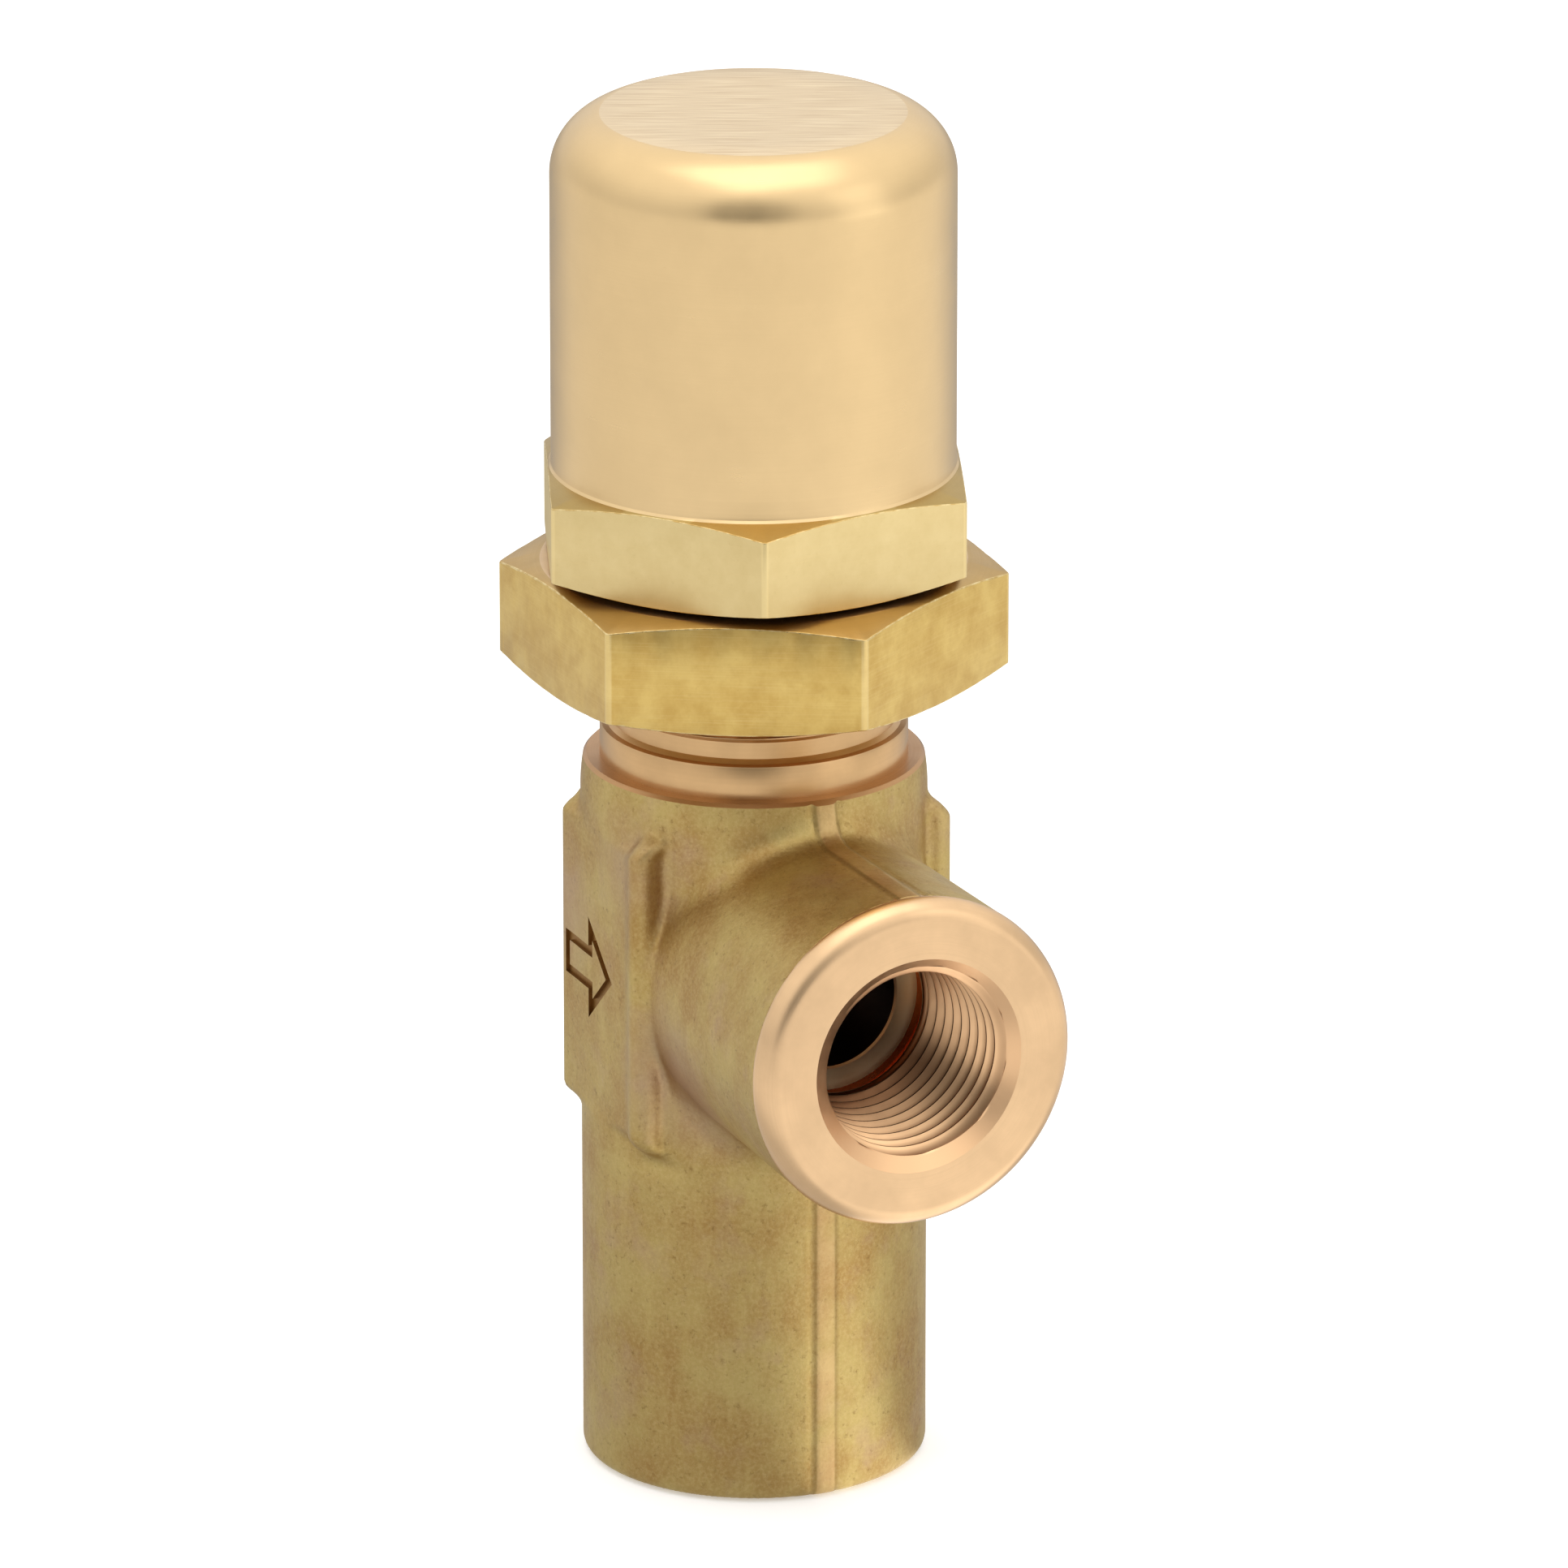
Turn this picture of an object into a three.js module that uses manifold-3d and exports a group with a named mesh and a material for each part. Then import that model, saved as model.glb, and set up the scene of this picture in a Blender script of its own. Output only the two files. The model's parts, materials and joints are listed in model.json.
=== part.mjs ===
// Angle-pattern pressure relief valve: forged brass body, side outlet, adjusting cap and lock nut.
// Millimetres, +Z up along the barrel, outlet towards +X, bottom face at z = 0.
// The sizes are those of the half-inch pipe size. Threads are smooth here, with running clearance.
import * as THREE from "three";
import { mergeVertices } from "three/addons/utils/BufferGeometryUtils.js";
import Module from "manifold-3d";

const wasm = await Module();
wasm.setup();

// Driving dimensions
const INCH = 25.4;
const FACETS = 40;
const SMALL_FACETS = 24;
const GAP = 0.3;
const SEAL_GAP = 0.05;

// Body: barrel, neck and wrench flats
const BARREL_R = (1.375 * INCH) / 2;
const SHOULDER_Z = 74.4;
const NECK_R = 15.5;
const NECK_LAND_TOP_Z = 77.8;
const NECK_RELIEF_R = 14.4;
const NECK_THREAD_TOP_Z = 107;
const SPIGOT_R = 14.2;
const NECK_TOP_Z = 117;
const NECK_SEAL_Z = 112.7;
const FLAT_Y = 17.3;
const FLAT_HALF_WIDTH = 9.35;
const FLAT_LOW_Z = 38.3;
const FLAT_HIGH_Z = 67.8;
const FLAT_RAMP = 2.5;

// Outlet boss, along +X
const OUTLET_Z = 53.7;
const OUTLET_FACE_X = 39.57;
const BOSS_R = 17;
const BOSS_FACE_R = 15;
const BOSS_EDGE = 2.2;

// Half-inch taper pipe port, the same at the inlet and the outlet
const PORT_MOUTH_R = 11.13;
const PORT_BORE_R = 9.35;
const PORT_COUNTERSINK = 1.5;
const PORT_DEPTH = 18.2;
const PORT_TAPER = 1 / 32;
const PORT_RELIEF_R = 10;
const PORT_RELIEF_LENGTH = 2.6;
const PASSAGE_R = 7;

// Chambers inside the body
const CHAMBER_R = 10.8;
const CHAMBER_FLOOR_Z = 38;
const SEAT_POCKET_R = 9.3;
const SEAT_POCKET_Z = 32;
const BORE_R = 11.5;
const BUSH_LEDGE_Z = 62;
const CLIP_GROOVE_R = 12.5;
const CLIP_GROOVE_Z = 69.3;
const CLIP_GROOVE_LENGTH = 1.3;

// Lock nut and adjusting cap
const NUT_AF = 1.75 * INCH;
const NUT_LOW_Z = 83.1;
const NUT_HIGH_Z = 94.8;
const NUT_TURN_DEG = 1.24;
const CAP_AF = 1.625 * INCH;
const CAP_TURN_DEG = -21.65;
const CAP_LOW_Z = NUT_HIGH_Z + GAP;
const CAP_HEX_TOP_Z = 105;
const CAP_R = 20.26;
const CAP_CROWN_ARC_R = 6.35;
const CAP_CROWN_HEIGHT = 6.2;
const CAP_TOP_Z = 141.15;
const CAP_CROWN_WALL = 7.85;
const HEX_CHAMFER_DEG = 15;
const THREAD_BORE_R = NECK_R + 0.35;
const CAP_SEAL_BORE_R = SPIGOT_R + 0.25;
const CAP_POCKET_R = 11.3;

// Trim: seat, poppet, guide, spring and thrust pieces
const SEAT_LIP_Z = 41.5;
const SEAT_BORE_R = 6.5;
const STEM_R = 4;
const STEM_BORE_R = STEM_R + SEAL_GAP;
const STEM_TOP_Z = 77.7;
const LOWER_SEAT_Z = 72.6;
const SPRING_LOW_Z = 75.7;
const SPRING_HIGH_Z = 121;
const SPRING_MEAN_R = 9.2;
const SPRING_WIRE_R = 1.6;
const SPRING_END_PITCH = 2 * SPRING_WIRE_R + 0.1;
const SPRING_MIDDLE_TURNS = 7;
const SPRING_SEAT_R = 10.6;
const SPRING_SPIGOT_R = 6.6;
const BALL_R = 3.5;
const BALL_Z = 127.2;
const THRUST_DISC_R = 6;

// The outlet reaches further out on +X than the lock nut's corner does on -X
const NUT_CORNER_R = NUT_AF / Math.sqrt(3);
const NUT_REACH_X = NUT_CORNER_R * Math.cos(THREE.MathUtils.degToRad(NUT_TURN_DEG));
const BOX_CENTRE_X = (OUTLET_FACE_X - NUT_REACH_X) / 2;

const FORGED = { color: 0xa8935c, roughness: 0.55, metalness: 0.9 };
const TURNED = { color: 0xd6b46e, roughness: 0.3, metalness: 1 };
const NUT_BRASS = { color: 0xcaa951, roughness: 0.4, metalness: 1 };
const STAINLESS = { color: 0xb4b6b8, roughness: 0.3, metalness: 1 };
const SPRING_STEEL = { color: 0x8d9196, roughness: 0.35, metalness: 1 };
const BRONZE = { color: 0xb98a52, roughness: 0.4, metalness: 1 };
const RUBBER = { color: 0x17181a, roughness: 0.8, metalness: 0 };
const SEAL_PLASTIC = { color: 0xe9e6dc, roughness: 0.5, metalness: 0 };

// Closed mesh with shared vertices and no flat triangles, as the solid library needs it
function closedMesh(source) {
  const bare = source.clone();
  bare.deleteAttribute("normal");
  bare.deleteAttribute("uv");
  const merged = mergeVertices(bare, 1e-4);
  const corners = merged.index.array;
  const kept = [];
  for (let i = 0; i < corners.length; i += 3) {
    const [a, b, c] = [corners[i], corners[i + 1], corners[i + 2]];
    if (a !== b && b !== c && c !== a) kept.push(a, b, c);
  }
  return { positions: merged.attributes.position.array, triangles: kept };
}

function signedVolume(positions, triangles) {
  const [a, b, c] = [new THREE.Vector3(), new THREE.Vector3(), new THREE.Vector3()];
  let sum = 0;
  for (let i = 0; i < triangles.length; i += 3) {
    a.fromArray(positions, 3 * triangles[i]);
    b.fromArray(positions, 3 * triangles[i + 1]);
    c.fromArray(positions, 3 * triangles[i + 2]);
    sum += a.dot(b.cross(c));
  }
  return sum / 6;
}

// Solid from a three.js geometry, turned inside out if its faces point inwards
function solid(source) {
  const { positions, triangles } = closedMesh(source);
  if (signedVolume(positions, triangles) < 0) triangles.reverse();
  const vertProperties = new Float32Array(positions);
  const triVerts = new Uint32Array(triangles);
  return new wasm.Manifold(new wasm.Mesh({ numProp: 3, vertProperties, triVerts }));
}

function geometryOf(body) {
  const mesh = body.getMesh();
  const geometry = new THREE.BufferGeometry();
  geometry.setAttribute("position", new THREE.BufferAttribute(new Float32Array(mesh.vertProperties), 3));
  geometry.setIndex([...mesh.triVerts]);
  geometry.computeVertexNormals();
  return geometry;
}

// Turned solid about Z from [radius, height] points; a profile off the axis closes on itself
function turned(points, facets = SMALL_FACETS) {
  const onAxis = points[0][0] === 0 && points.at(-1)[0] === 0;
  const profile = onAxis ? points : [...points, points[0]];
  const lathe = new THREE.LatheGeometry(profile.map(([r, z]) => new THREE.Vector2(r, z)), facets);
  return solid(lathe.rotateX(Math.PI / 2));
}

// The same about X, with [radius, distance along X] points
function turnedAlongX(points, facets = FACETS) {
  const lathe = new THREE.LatheGeometry(points.map(([r, x]) => new THREE.Vector2(r, x)), facets);
  return solid(lathe.rotateZ(-Math.PI / 2));
}

function arc(centreR, centreZ, radius, fromDeg, toDeg, steps) {
  return Array.from({ length: steps + 1 }, (_, i) => {
    const angle = THREE.MathUtils.degToRad(fromDeg + ((toDeg - fromDeg) * i) / steps);
    return [centreR + radius * Math.cos(angle), centreZ + radius * Math.sin(angle)];
  });
}

// Hexagonal prism with both ends cut back by a cone
function hexPrism(acrossFlats, lowZ, highZ, turnDeg) {
  const cornerR = acrossFlats / Math.sqrt(3);
  const shape = new THREE.Shape();
  for (let i = 0; i < 6; i += 1) {
    const angle = THREE.MathUtils.degToRad(turnDeg + 60 * i);
    const move = i === 0 ? "moveTo" : "lineTo";
    shape[move](cornerR * Math.cos(angle), cornerR * Math.sin(angle));
  }
  const prism = new THREE.ExtrudeGeometry(shape, { depth: highZ - lowZ, bevelEnabled: false });
  const faceR = (acrossFlats / 2) * 0.96;
  const outerR = cornerR + 2;
  const drop = (outerR - faceR) * Math.tan(THREE.MathUtils.degToRad(HEX_CHAMFER_DEG));
  const envelope = turned(
    [[0, lowZ], [faceR, lowZ], [outerR, lowZ + drop], [outerR, highZ - drop], [faceR, highZ], [0, highZ]],
    FACETS,
  );
  return solid(prism.translate(0, 0, lowZ)).intersect(envelope);
}

// Ring of round section, such as an O-ring
function roundRing(innerR, outerR, z) {
  const sectionR = (outerR - innerR) / 2;
  const torus = new THREE.TorusGeometry(innerR + sectionR, sectionR, 6, SMALL_FACETS);
  return solid(torus.translate(0, 0, z));
}

// Hollow of a port, as [radius, depth from the mouth] points that end on the axis
function portHollow(beyond) {
  const boreEndR = PORT_BORE_R - PORT_DEPTH * PORT_TAPER;
  return [
    [0, -1], [PORT_MOUTH_R + 1, -1], [PORT_MOUTH_R, 0], [PORT_BORE_R, PORT_COUNTERSINK],
    [boreEndR, PORT_DEPTH], [PORT_RELIEF_R, PORT_DEPTH + 0.4],
    [PORT_RELIEF_R, PORT_DEPTH + PORT_RELIEF_LENGTH], [PASSAGE_R, PORT_DEPTH + PORT_RELIEF_LENGTH],
    [PASSAGE_R, beyond], [0, beyond],
  ];
}

function bodyOutside() {
  const barrelAndNeck = turned([
    [0, 0], [BARREL_R - 1, 0], ...arc(BARREL_R - 1, 1, 1, -60, 0, 2),
    [BARREL_R, SHOULDER_Z - 0.4], [BARREL_R - 0.4, SHOULDER_Z], [NECK_R, SHOULDER_Z],
    [NECK_R, NECK_LAND_TOP_Z], [NECK_RELIEF_R, NECK_LAND_TOP_Z + 0.4],
    [NECK_RELIEF_R, NECK_LAND_TOP_Z + 2.2], [NECK_R, NECK_LAND_TOP_Z + 3],
    [NECK_R, NECK_THREAD_TOP_Z], [SPIGOT_R, NECK_THREAD_TOP_Z + 1.3],
    [SPIGOT_R, NECK_SEAL_Z - 1], [SPIGOT_R - 1.3, NECK_SEAL_Z - 1],
    [SPIGOT_R - 1.3, NECK_SEAL_Z + 1], [SPIGOT_R, NECK_SEAL_Z + 1],
    [SPIGOT_R, NECK_TOP_Z - 0.6], [SPIGOT_R - 0.6, NECK_TOP_Z], [0, NECK_TOP_Z],
  ], FACETS);
  return barrelAndNeck.subtract(barrelBulges()).add(wrenchFlats()).add(outletBoss());
}

// The barrel is a little wider than the flats are apart, so it is cut level with them
function barrelBulges() {
  const height = FLAT_HIGH_Z - FLAT_LOW_Z;
  const cut = new THREE.BoxGeometry(FLAT_HALF_WIDTH, 1, height);
  cut.translate(0, FLAT_Y + 0.5, FLAT_LOW_Z + height / 2);
  return solid(cut).add(solid(cut.clone().rotateZ(Math.PI)));
}

// Block whose two faces are the wrench flats, ramped out of the barrel at both ends
function wrenchFlats() {
  const rootY = FLAT_Y - 2.4;
  const side = new THREE.Shape([
    [-rootY, FLAT_LOW_Z - FLAT_RAMP], [rootY, FLAT_LOW_Z - FLAT_RAMP], [FLAT_Y, FLAT_LOW_Z],
    [FLAT_Y, FLAT_HIGH_Z], [rootY, FLAT_HIGH_Z + FLAT_RAMP], [-rootY, FLAT_HIGH_Z + FLAT_RAMP],
    [-FLAT_Y, FLAT_HIGH_Z], [-FLAT_Y, FLAT_LOW_Z],
  ].map(([y, z]) => new THREE.Vector2(y, z)));
  const block = new THREE.ExtrudeGeometry(side, { depth: 2 * FLAT_HALF_WIDTH, bevelEnabled: false });
  block.translate(0, 0, -FLAT_HALF_WIDTH);
  block.rotateX(Math.PI / 2);
  block.rotateZ(Math.PI / 2);
  return solid(block);
}

function outletBoss() {
  const faceRound = BOSS_R - BOSS_FACE_R;
  const edge = arc(0, 0, 1, 0, 90, 4).map(([across, along]) => [
    BOSS_FACE_R + faceRound * across, OUTLET_FACE_X - BOSS_EDGE + BOSS_EDGE * along,
  ]);
  const profile = [[0, 4], [BOSS_R - 0.6, 4], ...edge, [0, OUTLET_FACE_X]];
  return turnedAlongX(profile).translate([0, 0, OUTLET_Z]);
}

// Everything bored out along Z, from the inlet port up to the open top of the neck
function bodyHollow() {
  const clipTop = CLIP_GROOVE_Z + CLIP_GROOVE_LENGTH;
  const inlet = portHollow(SEAT_POCKET_Z).slice(0, -1);
  return turned([
    ...inlet, [SEAT_POCKET_R, SEAT_POCKET_Z], [SEAT_POCKET_R, CHAMBER_FLOOR_Z],
    [CHAMBER_R, CHAMBER_FLOOR_Z], [CHAMBER_R, BUSH_LEDGE_Z], [BORE_R, BUSH_LEDGE_Z],
    [BORE_R, CLIP_GROOVE_Z], [CLIP_GROOVE_R, CLIP_GROOVE_Z], [CLIP_GROOVE_R, clipTop],
    [BORE_R, clipTop], [BORE_R, NECK_TOP_Z - 0.5], [BORE_R + 1.5, NECK_TOP_Z + 1], [0, NECK_TOP_Z + 1],
  ], FACETS);
}

function outletHollow() {
  const alongX = portHollow(OUTLET_FACE_X).map(([r, depth]) => [r, OUTLET_FACE_X - depth]);
  return turnedAlongX(alongX).translate([0, 0, OUTLET_Z]);
}

function valveBody() {
  return bodyOutside().subtract(bodyHollow()).subtract(outletHollow());
}

function lockNut() {
  const bore = turned([
    [0, NUT_LOW_Z - 1], [THREAD_BORE_R + 1.8, NUT_LOW_Z - 1], [THREAD_BORE_R, NUT_LOW_Z + 0.8],
    [THREAD_BORE_R, NUT_HIGH_Z - 0.8], [THREAD_BORE_R + 1.8, NUT_HIGH_Z + 1], [0, NUT_HIGH_Z + 1],
  ], FACETS);
  return hexPrism(NUT_AF, NUT_LOW_Z, NUT_HIGH_Z, NUT_TURN_DEG).subtract(bore);
}

function capOutside() {
  const crownZ = CAP_TOP_Z - CAP_CROWN_HEIGHT;
  const arcEnd = THREE.MathUtils.radToDeg(Math.asin(CAP_CROWN_HEIGHT / CAP_CROWN_ARC_R));
  const dome = turned([
    [0, CAP_HEX_TOP_Z - 3], [CAP_R, CAP_HEX_TOP_Z - 3],
    ...arc(CAP_R - CAP_CROWN_ARC_R, crownZ, CAP_CROWN_ARC_R, 0, arcEnd, 6), [0, CAP_TOP_Z],
  ], FACETS);
  return dome.add(hexPrism(CAP_AF, CAP_LOW_Z, CAP_HEX_TOP_Z, CAP_TURN_DEG));
}

// Threaded skirt, seal bore, spring pocket and the recess for the thrust disc
function capHollow() {
  const sealBoreZ = NECK_THREAD_TOP_Z + 2;
  const roofZ = CAP_TOP_Z - CAP_CROWN_WALL;
  const recessR = THRUST_DISC_R + GAP;
  return turned([
    [0, CAP_LOW_Z - 1], [THREAD_BORE_R + 1.8, CAP_LOW_Z - 1], [THREAD_BORE_R, CAP_LOW_Z + 0.8],
    [THREAD_BORE_R, sealBoreZ - 1.4], [CAP_SEAL_BORE_R, sealBoreZ], [CAP_SEAL_BORE_R, NECK_TOP_Z + 1],
    [CAP_POCKET_R, NECK_TOP_Z + 3], [CAP_POCKET_R, roofZ - 1.9], [recessR, roofZ - 1.9],
    [recessR, roofZ], [0, roofZ],
  ], FACETS);
}

function adjustingCap() {
  return capOutside().subtract(capHollow());
}

// Screwed-in seat with a raised lip and an O-ring groove
function seatRing() {
  return turned([
    [7, 32.3], [9, 32.3], [9, 34], [7.9, 34], [7.9, 36], [9, 36], [9, CHAMBER_FLOOR_Z + GAP],
    [10.3, CHAMBER_FLOOR_Z + GAP], [10.3, 40.3], [8.6, 40.3], [7.6, SEAT_LIP_Z], [6.9, SEAT_LIP_Z],
    [SEAT_BORE_R, SEAT_LIP_Z - 0.4], [SEAT_BORE_R, 33],
  ]);
}

// Cup for the seal, stem and round nose in one turned piece
function poppet() {
  const nose = arc(0, STEM_TOP_Z - STEM_R, STEM_R, 0, 90, 5).slice(0, -1);
  return turned([
    [0, 52], [2.2, 52], [2.2, 44.15], [8.35, 44.15], [8.35, 42.2], [9.4, 42.2], [9.4, 46],
    [8.4, 47], [5, 47.8], [STEM_R, 49], ...nose, [0, STEM_TOP_Z],
  ]);
}

function poppetSeal() {
  return turned([[2.4, 41.55], [8.25, 41.55], [8.25, 44.05], [2.4, 44.05]]);
}

function sealRetainer() {
  return turned([[2.2, 40.4], [5.3, 40.4], [5.7, 40.8], [5.7, 41.5], [2.2, 41.5]]);
}

function retainerScrew() {
  const shape = new THREE.Shape();
  for (let i = 0; i < 6; i += 1) {
    const angle = (Math.PI / 3) * i;
    shape[i === 0 ? "moveTo" : "lineTo"](1.75 * Math.cos(angle), 1.75 * Math.sin(angle));
  }
  const socket = new THREE.ExtrudeGeometry(shape, { depth: 3, bevelEnabled: false });
  const screw = turned([[0, 36.4], [3.1, 36.4], [3.5, 36.8], [3.5, 40.35], [2, 40.35], [2, 51], [0, 51]]);
  return screw.subtract(solid(socket.translate(0, 0, 35.6)));
}

// Guide for the stem, with a groove outside for the body seal and one inside for the stem seal
function guideBush() {
  return turned([
    [STEM_BORE_R, 62.3], [11.3, 62.3], [11.3, 64.4], [10, 64.4], [10, 66.6], [11.3, 66.6], [11.3, 69],
    [STEM_BORE_R, 69], [STEM_BORE_R, 67.3], [6, 67.3], [6, 63.9], [STEM_BORE_R, 63.9],
  ]);
}

// Internal retaining ring: an open ring with two lugs to grip
function retainingRing() {
  const open = THREE.MathUtils.degToRad(14);
  const lug = THREE.MathUtils.degToRad(30);
  const [outerR, innerR, lugR] = [12.2, 10.7, 9];
  const ring = new THREE.Shape();
  ring.absarc(0, 0, outerR, open, 2 * Math.PI - open, false);
  ring.absarc(0, 0, lugR, 2 * Math.PI - open, 2 * Math.PI - lug, true);
  ring.absarc(0, 0, innerR, 2 * Math.PI - lug, lug, true);
  ring.absarc(0, 0, lugR, lug, open, true);
  const depth = CLIP_GROOVE_LENGTH - 0.3;
  const plate = new THREE.ExtrudeGeometry(ring, { depth, bevelEnabled: false, curveSegments: 16 });
  return solid(plate.translate(0, 0, CLIP_GROOVE_Z + 0.15));
}

function lowerSpringSeat() {
  const flangeTop = SPRING_LOW_Z - GAP;
  const pocketTop = STEM_TOP_Z + GAP;
  const pocketR = STEM_R + GAP;
  return turned([
    [0, pocketTop], [pocketR, pocketTop], [pocketR, LOWER_SEAT_Z], [SPRING_SEAT_R, LOWER_SEAT_Z],
    [SPRING_SEAT_R, flangeTop], [SPRING_SPIGOT_R, flangeTop], [SPRING_SPIGOT_R, 79.7],
    [SPRING_SPIGOT_R - 0.8, 80.5], [0, 80.5],
  ]);
}

function upperSpringSeat() {
  const flangeLow = SPRING_HIGH_Z + GAP;
  const pocketR = BALL_R + GAP;
  const pocketZ = BALL_Z - BALL_R - GAP;
  return turned([
    [0, 117], [SPRING_SPIGOT_R - 0.8, 117], [SPRING_SPIGOT_R, 117.8], [SPRING_SPIGOT_R, flangeLow],
    [SPRING_SEAT_R, flangeLow], [SPRING_SEAT_R, 124.3], [7.4, 124.3], [6.6, 127.4],
    [pocketR, 127.4], [pocketR, pocketZ], [0, pocketZ],
  ]);
}

// Helix with close end turns and open middle turns
class SpringLine extends THREE.Curve {
  getPoint(t, target = new THREE.Vector3()) {
    const turns = SPRING_MIDDLE_TURNS + 2;
    const rise = SPRING_HIGH_Z - SPRING_LOW_Z - 2 * SPRING_WIRE_R;
    const middlePitch = (rise - 2 * SPRING_END_PITCH) / SPRING_MIDDLE_TURNS;
    const n = turns * t;
    const ends = Math.min(n, 1) + Math.max(n - (turns - 1), 0);
    const middle = Math.min(Math.max(n - 1, 0), SPRING_MIDDLE_TURNS);
    const z = SPRING_LOW_Z + SPRING_WIRE_R + ends * SPRING_END_PITCH + middle * middlePitch;
    const angle = 2 * Math.PI * n;
    return target.set(SPRING_MEAN_R * Math.cos(angle), SPRING_MEAN_R * Math.sin(angle), z);
  }
}

function mainSpring() {
  const wire = new THREE.Shape();
  for (let i = 0; i < 6; i += 1) {
    const angle = (Math.PI / 3) * i;
    const move = i === 0 ? "moveTo" : "lineTo";
    wire[move](SPRING_WIRE_R * Math.cos(angle), SPRING_WIRE_R * Math.sin(angle));
  }
  const steps = 14 * (SPRING_MIDDLE_TURNS + 2);
  return solid(new THREE.ExtrudeGeometry(wire, { steps, extrudePath: new SpringLine() }));
}

function thrustBall() {
  return solid(new THREE.SphereGeometry(BALL_R, 16, 10).translate(0, 0, BALL_Z));
}

function thrustDisc() {
  const lowZ = BALL_Z + BALL_R + GAP;
  const highZ = CAP_TOP_Z - CAP_CROWN_WALL - GAP;
  return turned([[0, lowZ], [THRUST_DISC_R, lowZ], [THRUST_DISC_R, highZ], [0, highZ]]);
}

const valve = new THREE.Group();

function addPiece(name, body, finish) {
  const mesh = new THREE.Mesh(geometryOf(body), new THREE.MeshStandardMaterial(finish));
  mesh.name = name;
  valve.add(mesh);
}

addPiece("valve_body", valveBody(), FORGED);
addPiece("lock_nut", lockNut(), NUT_BRASS);
addPiece("adjusting_cap", adjustingCap(), TURNED);
addPiece("seat_ring", seatRing(), STAINLESS);
addPiece("seat_ring_oring", roundRing(7.95, 9.15, 35), RUBBER);
addPiece("poppet", poppet(), STAINLESS);
addPiece("poppet_seal", poppetSeal(), SEAL_PLASTIC);
addPiece("seal_retainer", sealRetainer(), STAINLESS);
addPiece("retainer_screw", retainerScrew(), STAINLESS);
addPiece("guide_bush", guideBush(), BRONZE);
addPiece("guide_bush_oring", roundRing(10.05, 11.4, 65.5), RUBBER);
addPiece("stem_oring", roundRing(STEM_BORE_R, 5.9, 65), RUBBER);
addPiece("stem_backup_ring", turned([[4.06, 66.1], [5.9, 66.1], [5.9, 67.2], [4.06, 67.2]]), SEAL_PLASTIC);
addPiece("retaining_ring", retainingRing(), SPRING_STEEL);
addPiece("lower_spring_seat", lowerSpringSeat(), STAINLESS);
addPiece("main_spring", mainSpring(), SPRING_STEEL);
addPiece("upper_spring_seat", upperSpringSeat(), STAINLESS);
addPiece("thrust_ball", thrustBall(), STAINLESS);
addPiece("thrust_disc", thrustDisc(), STAINLESS);
addPiece("neck_oring", roundRing(SPIGOT_R - 1.1, SPIGOT_R + 0.2, NECK_SEAL_Z), RUBBER);

valve.position.x = -BOX_CENTRE_X;

export default valve;
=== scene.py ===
import json
import math

import bmesh
import bpy
import numpy as np
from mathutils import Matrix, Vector


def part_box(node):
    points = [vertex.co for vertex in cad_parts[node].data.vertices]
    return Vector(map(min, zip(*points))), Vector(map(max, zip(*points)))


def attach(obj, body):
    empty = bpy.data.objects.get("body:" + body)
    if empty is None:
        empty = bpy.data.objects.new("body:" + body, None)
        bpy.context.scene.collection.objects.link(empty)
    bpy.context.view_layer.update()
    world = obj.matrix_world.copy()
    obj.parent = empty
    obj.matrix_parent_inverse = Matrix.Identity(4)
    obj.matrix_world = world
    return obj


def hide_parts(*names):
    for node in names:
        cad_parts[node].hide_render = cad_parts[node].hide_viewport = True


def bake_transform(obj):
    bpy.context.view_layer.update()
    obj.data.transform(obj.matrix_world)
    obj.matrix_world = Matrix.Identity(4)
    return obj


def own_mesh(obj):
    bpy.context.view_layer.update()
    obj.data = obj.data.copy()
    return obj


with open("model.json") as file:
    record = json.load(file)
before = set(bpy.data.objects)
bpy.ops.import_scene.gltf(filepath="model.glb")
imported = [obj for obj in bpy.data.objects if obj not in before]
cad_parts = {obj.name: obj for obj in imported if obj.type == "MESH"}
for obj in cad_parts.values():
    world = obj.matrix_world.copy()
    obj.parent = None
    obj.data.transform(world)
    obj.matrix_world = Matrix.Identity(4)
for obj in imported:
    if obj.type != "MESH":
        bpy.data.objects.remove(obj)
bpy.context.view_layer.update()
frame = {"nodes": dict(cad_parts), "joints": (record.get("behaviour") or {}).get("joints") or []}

# Lengths below are in millimetres on the barrel's own axis; MM turns them into scene metres.
MM = 0.001
INCH = 25.4
TAU = 2 * math.pi


def box_mm(node):
    low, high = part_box(node)
    return np.array(low) / MM, np.array(high) / MM


nut_low, nut_high = box_mm("lock_nut")
cap_low, cap_high = box_mm("adjusting_cap")
_, body_high = box_mm("valve_body")
spring_low, spring_high = box_mm("main_spring")
AXIS_X = (cap_low[0] + cap_high[0]) / 2

# Barrel, with a collar that draws in below the machined shoulder
BARREL_R = 1.375 * INCH / 2
FOOT_R = 1.2
COLLAR_Z = 70.8
COLLAR_HEIGHT = 3.6
COLLAR_TAPER = 0.32
SHOULDER_Z = 74.4
SHOULDER_EDGE = 0.6

# Outlet boss, with its draft in millimetres of radius per millimetre
OUTLET_Z = 53.7
OUTLET_FACE_X = body_high[0] - AXIS_X
BOSS_R = 17.0
BOSS_FACE_R = 15.0
BOSS_EDGE = 2.2
BOSS_LENGTH = 27
BOSS_DRAFT = 0.022

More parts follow.
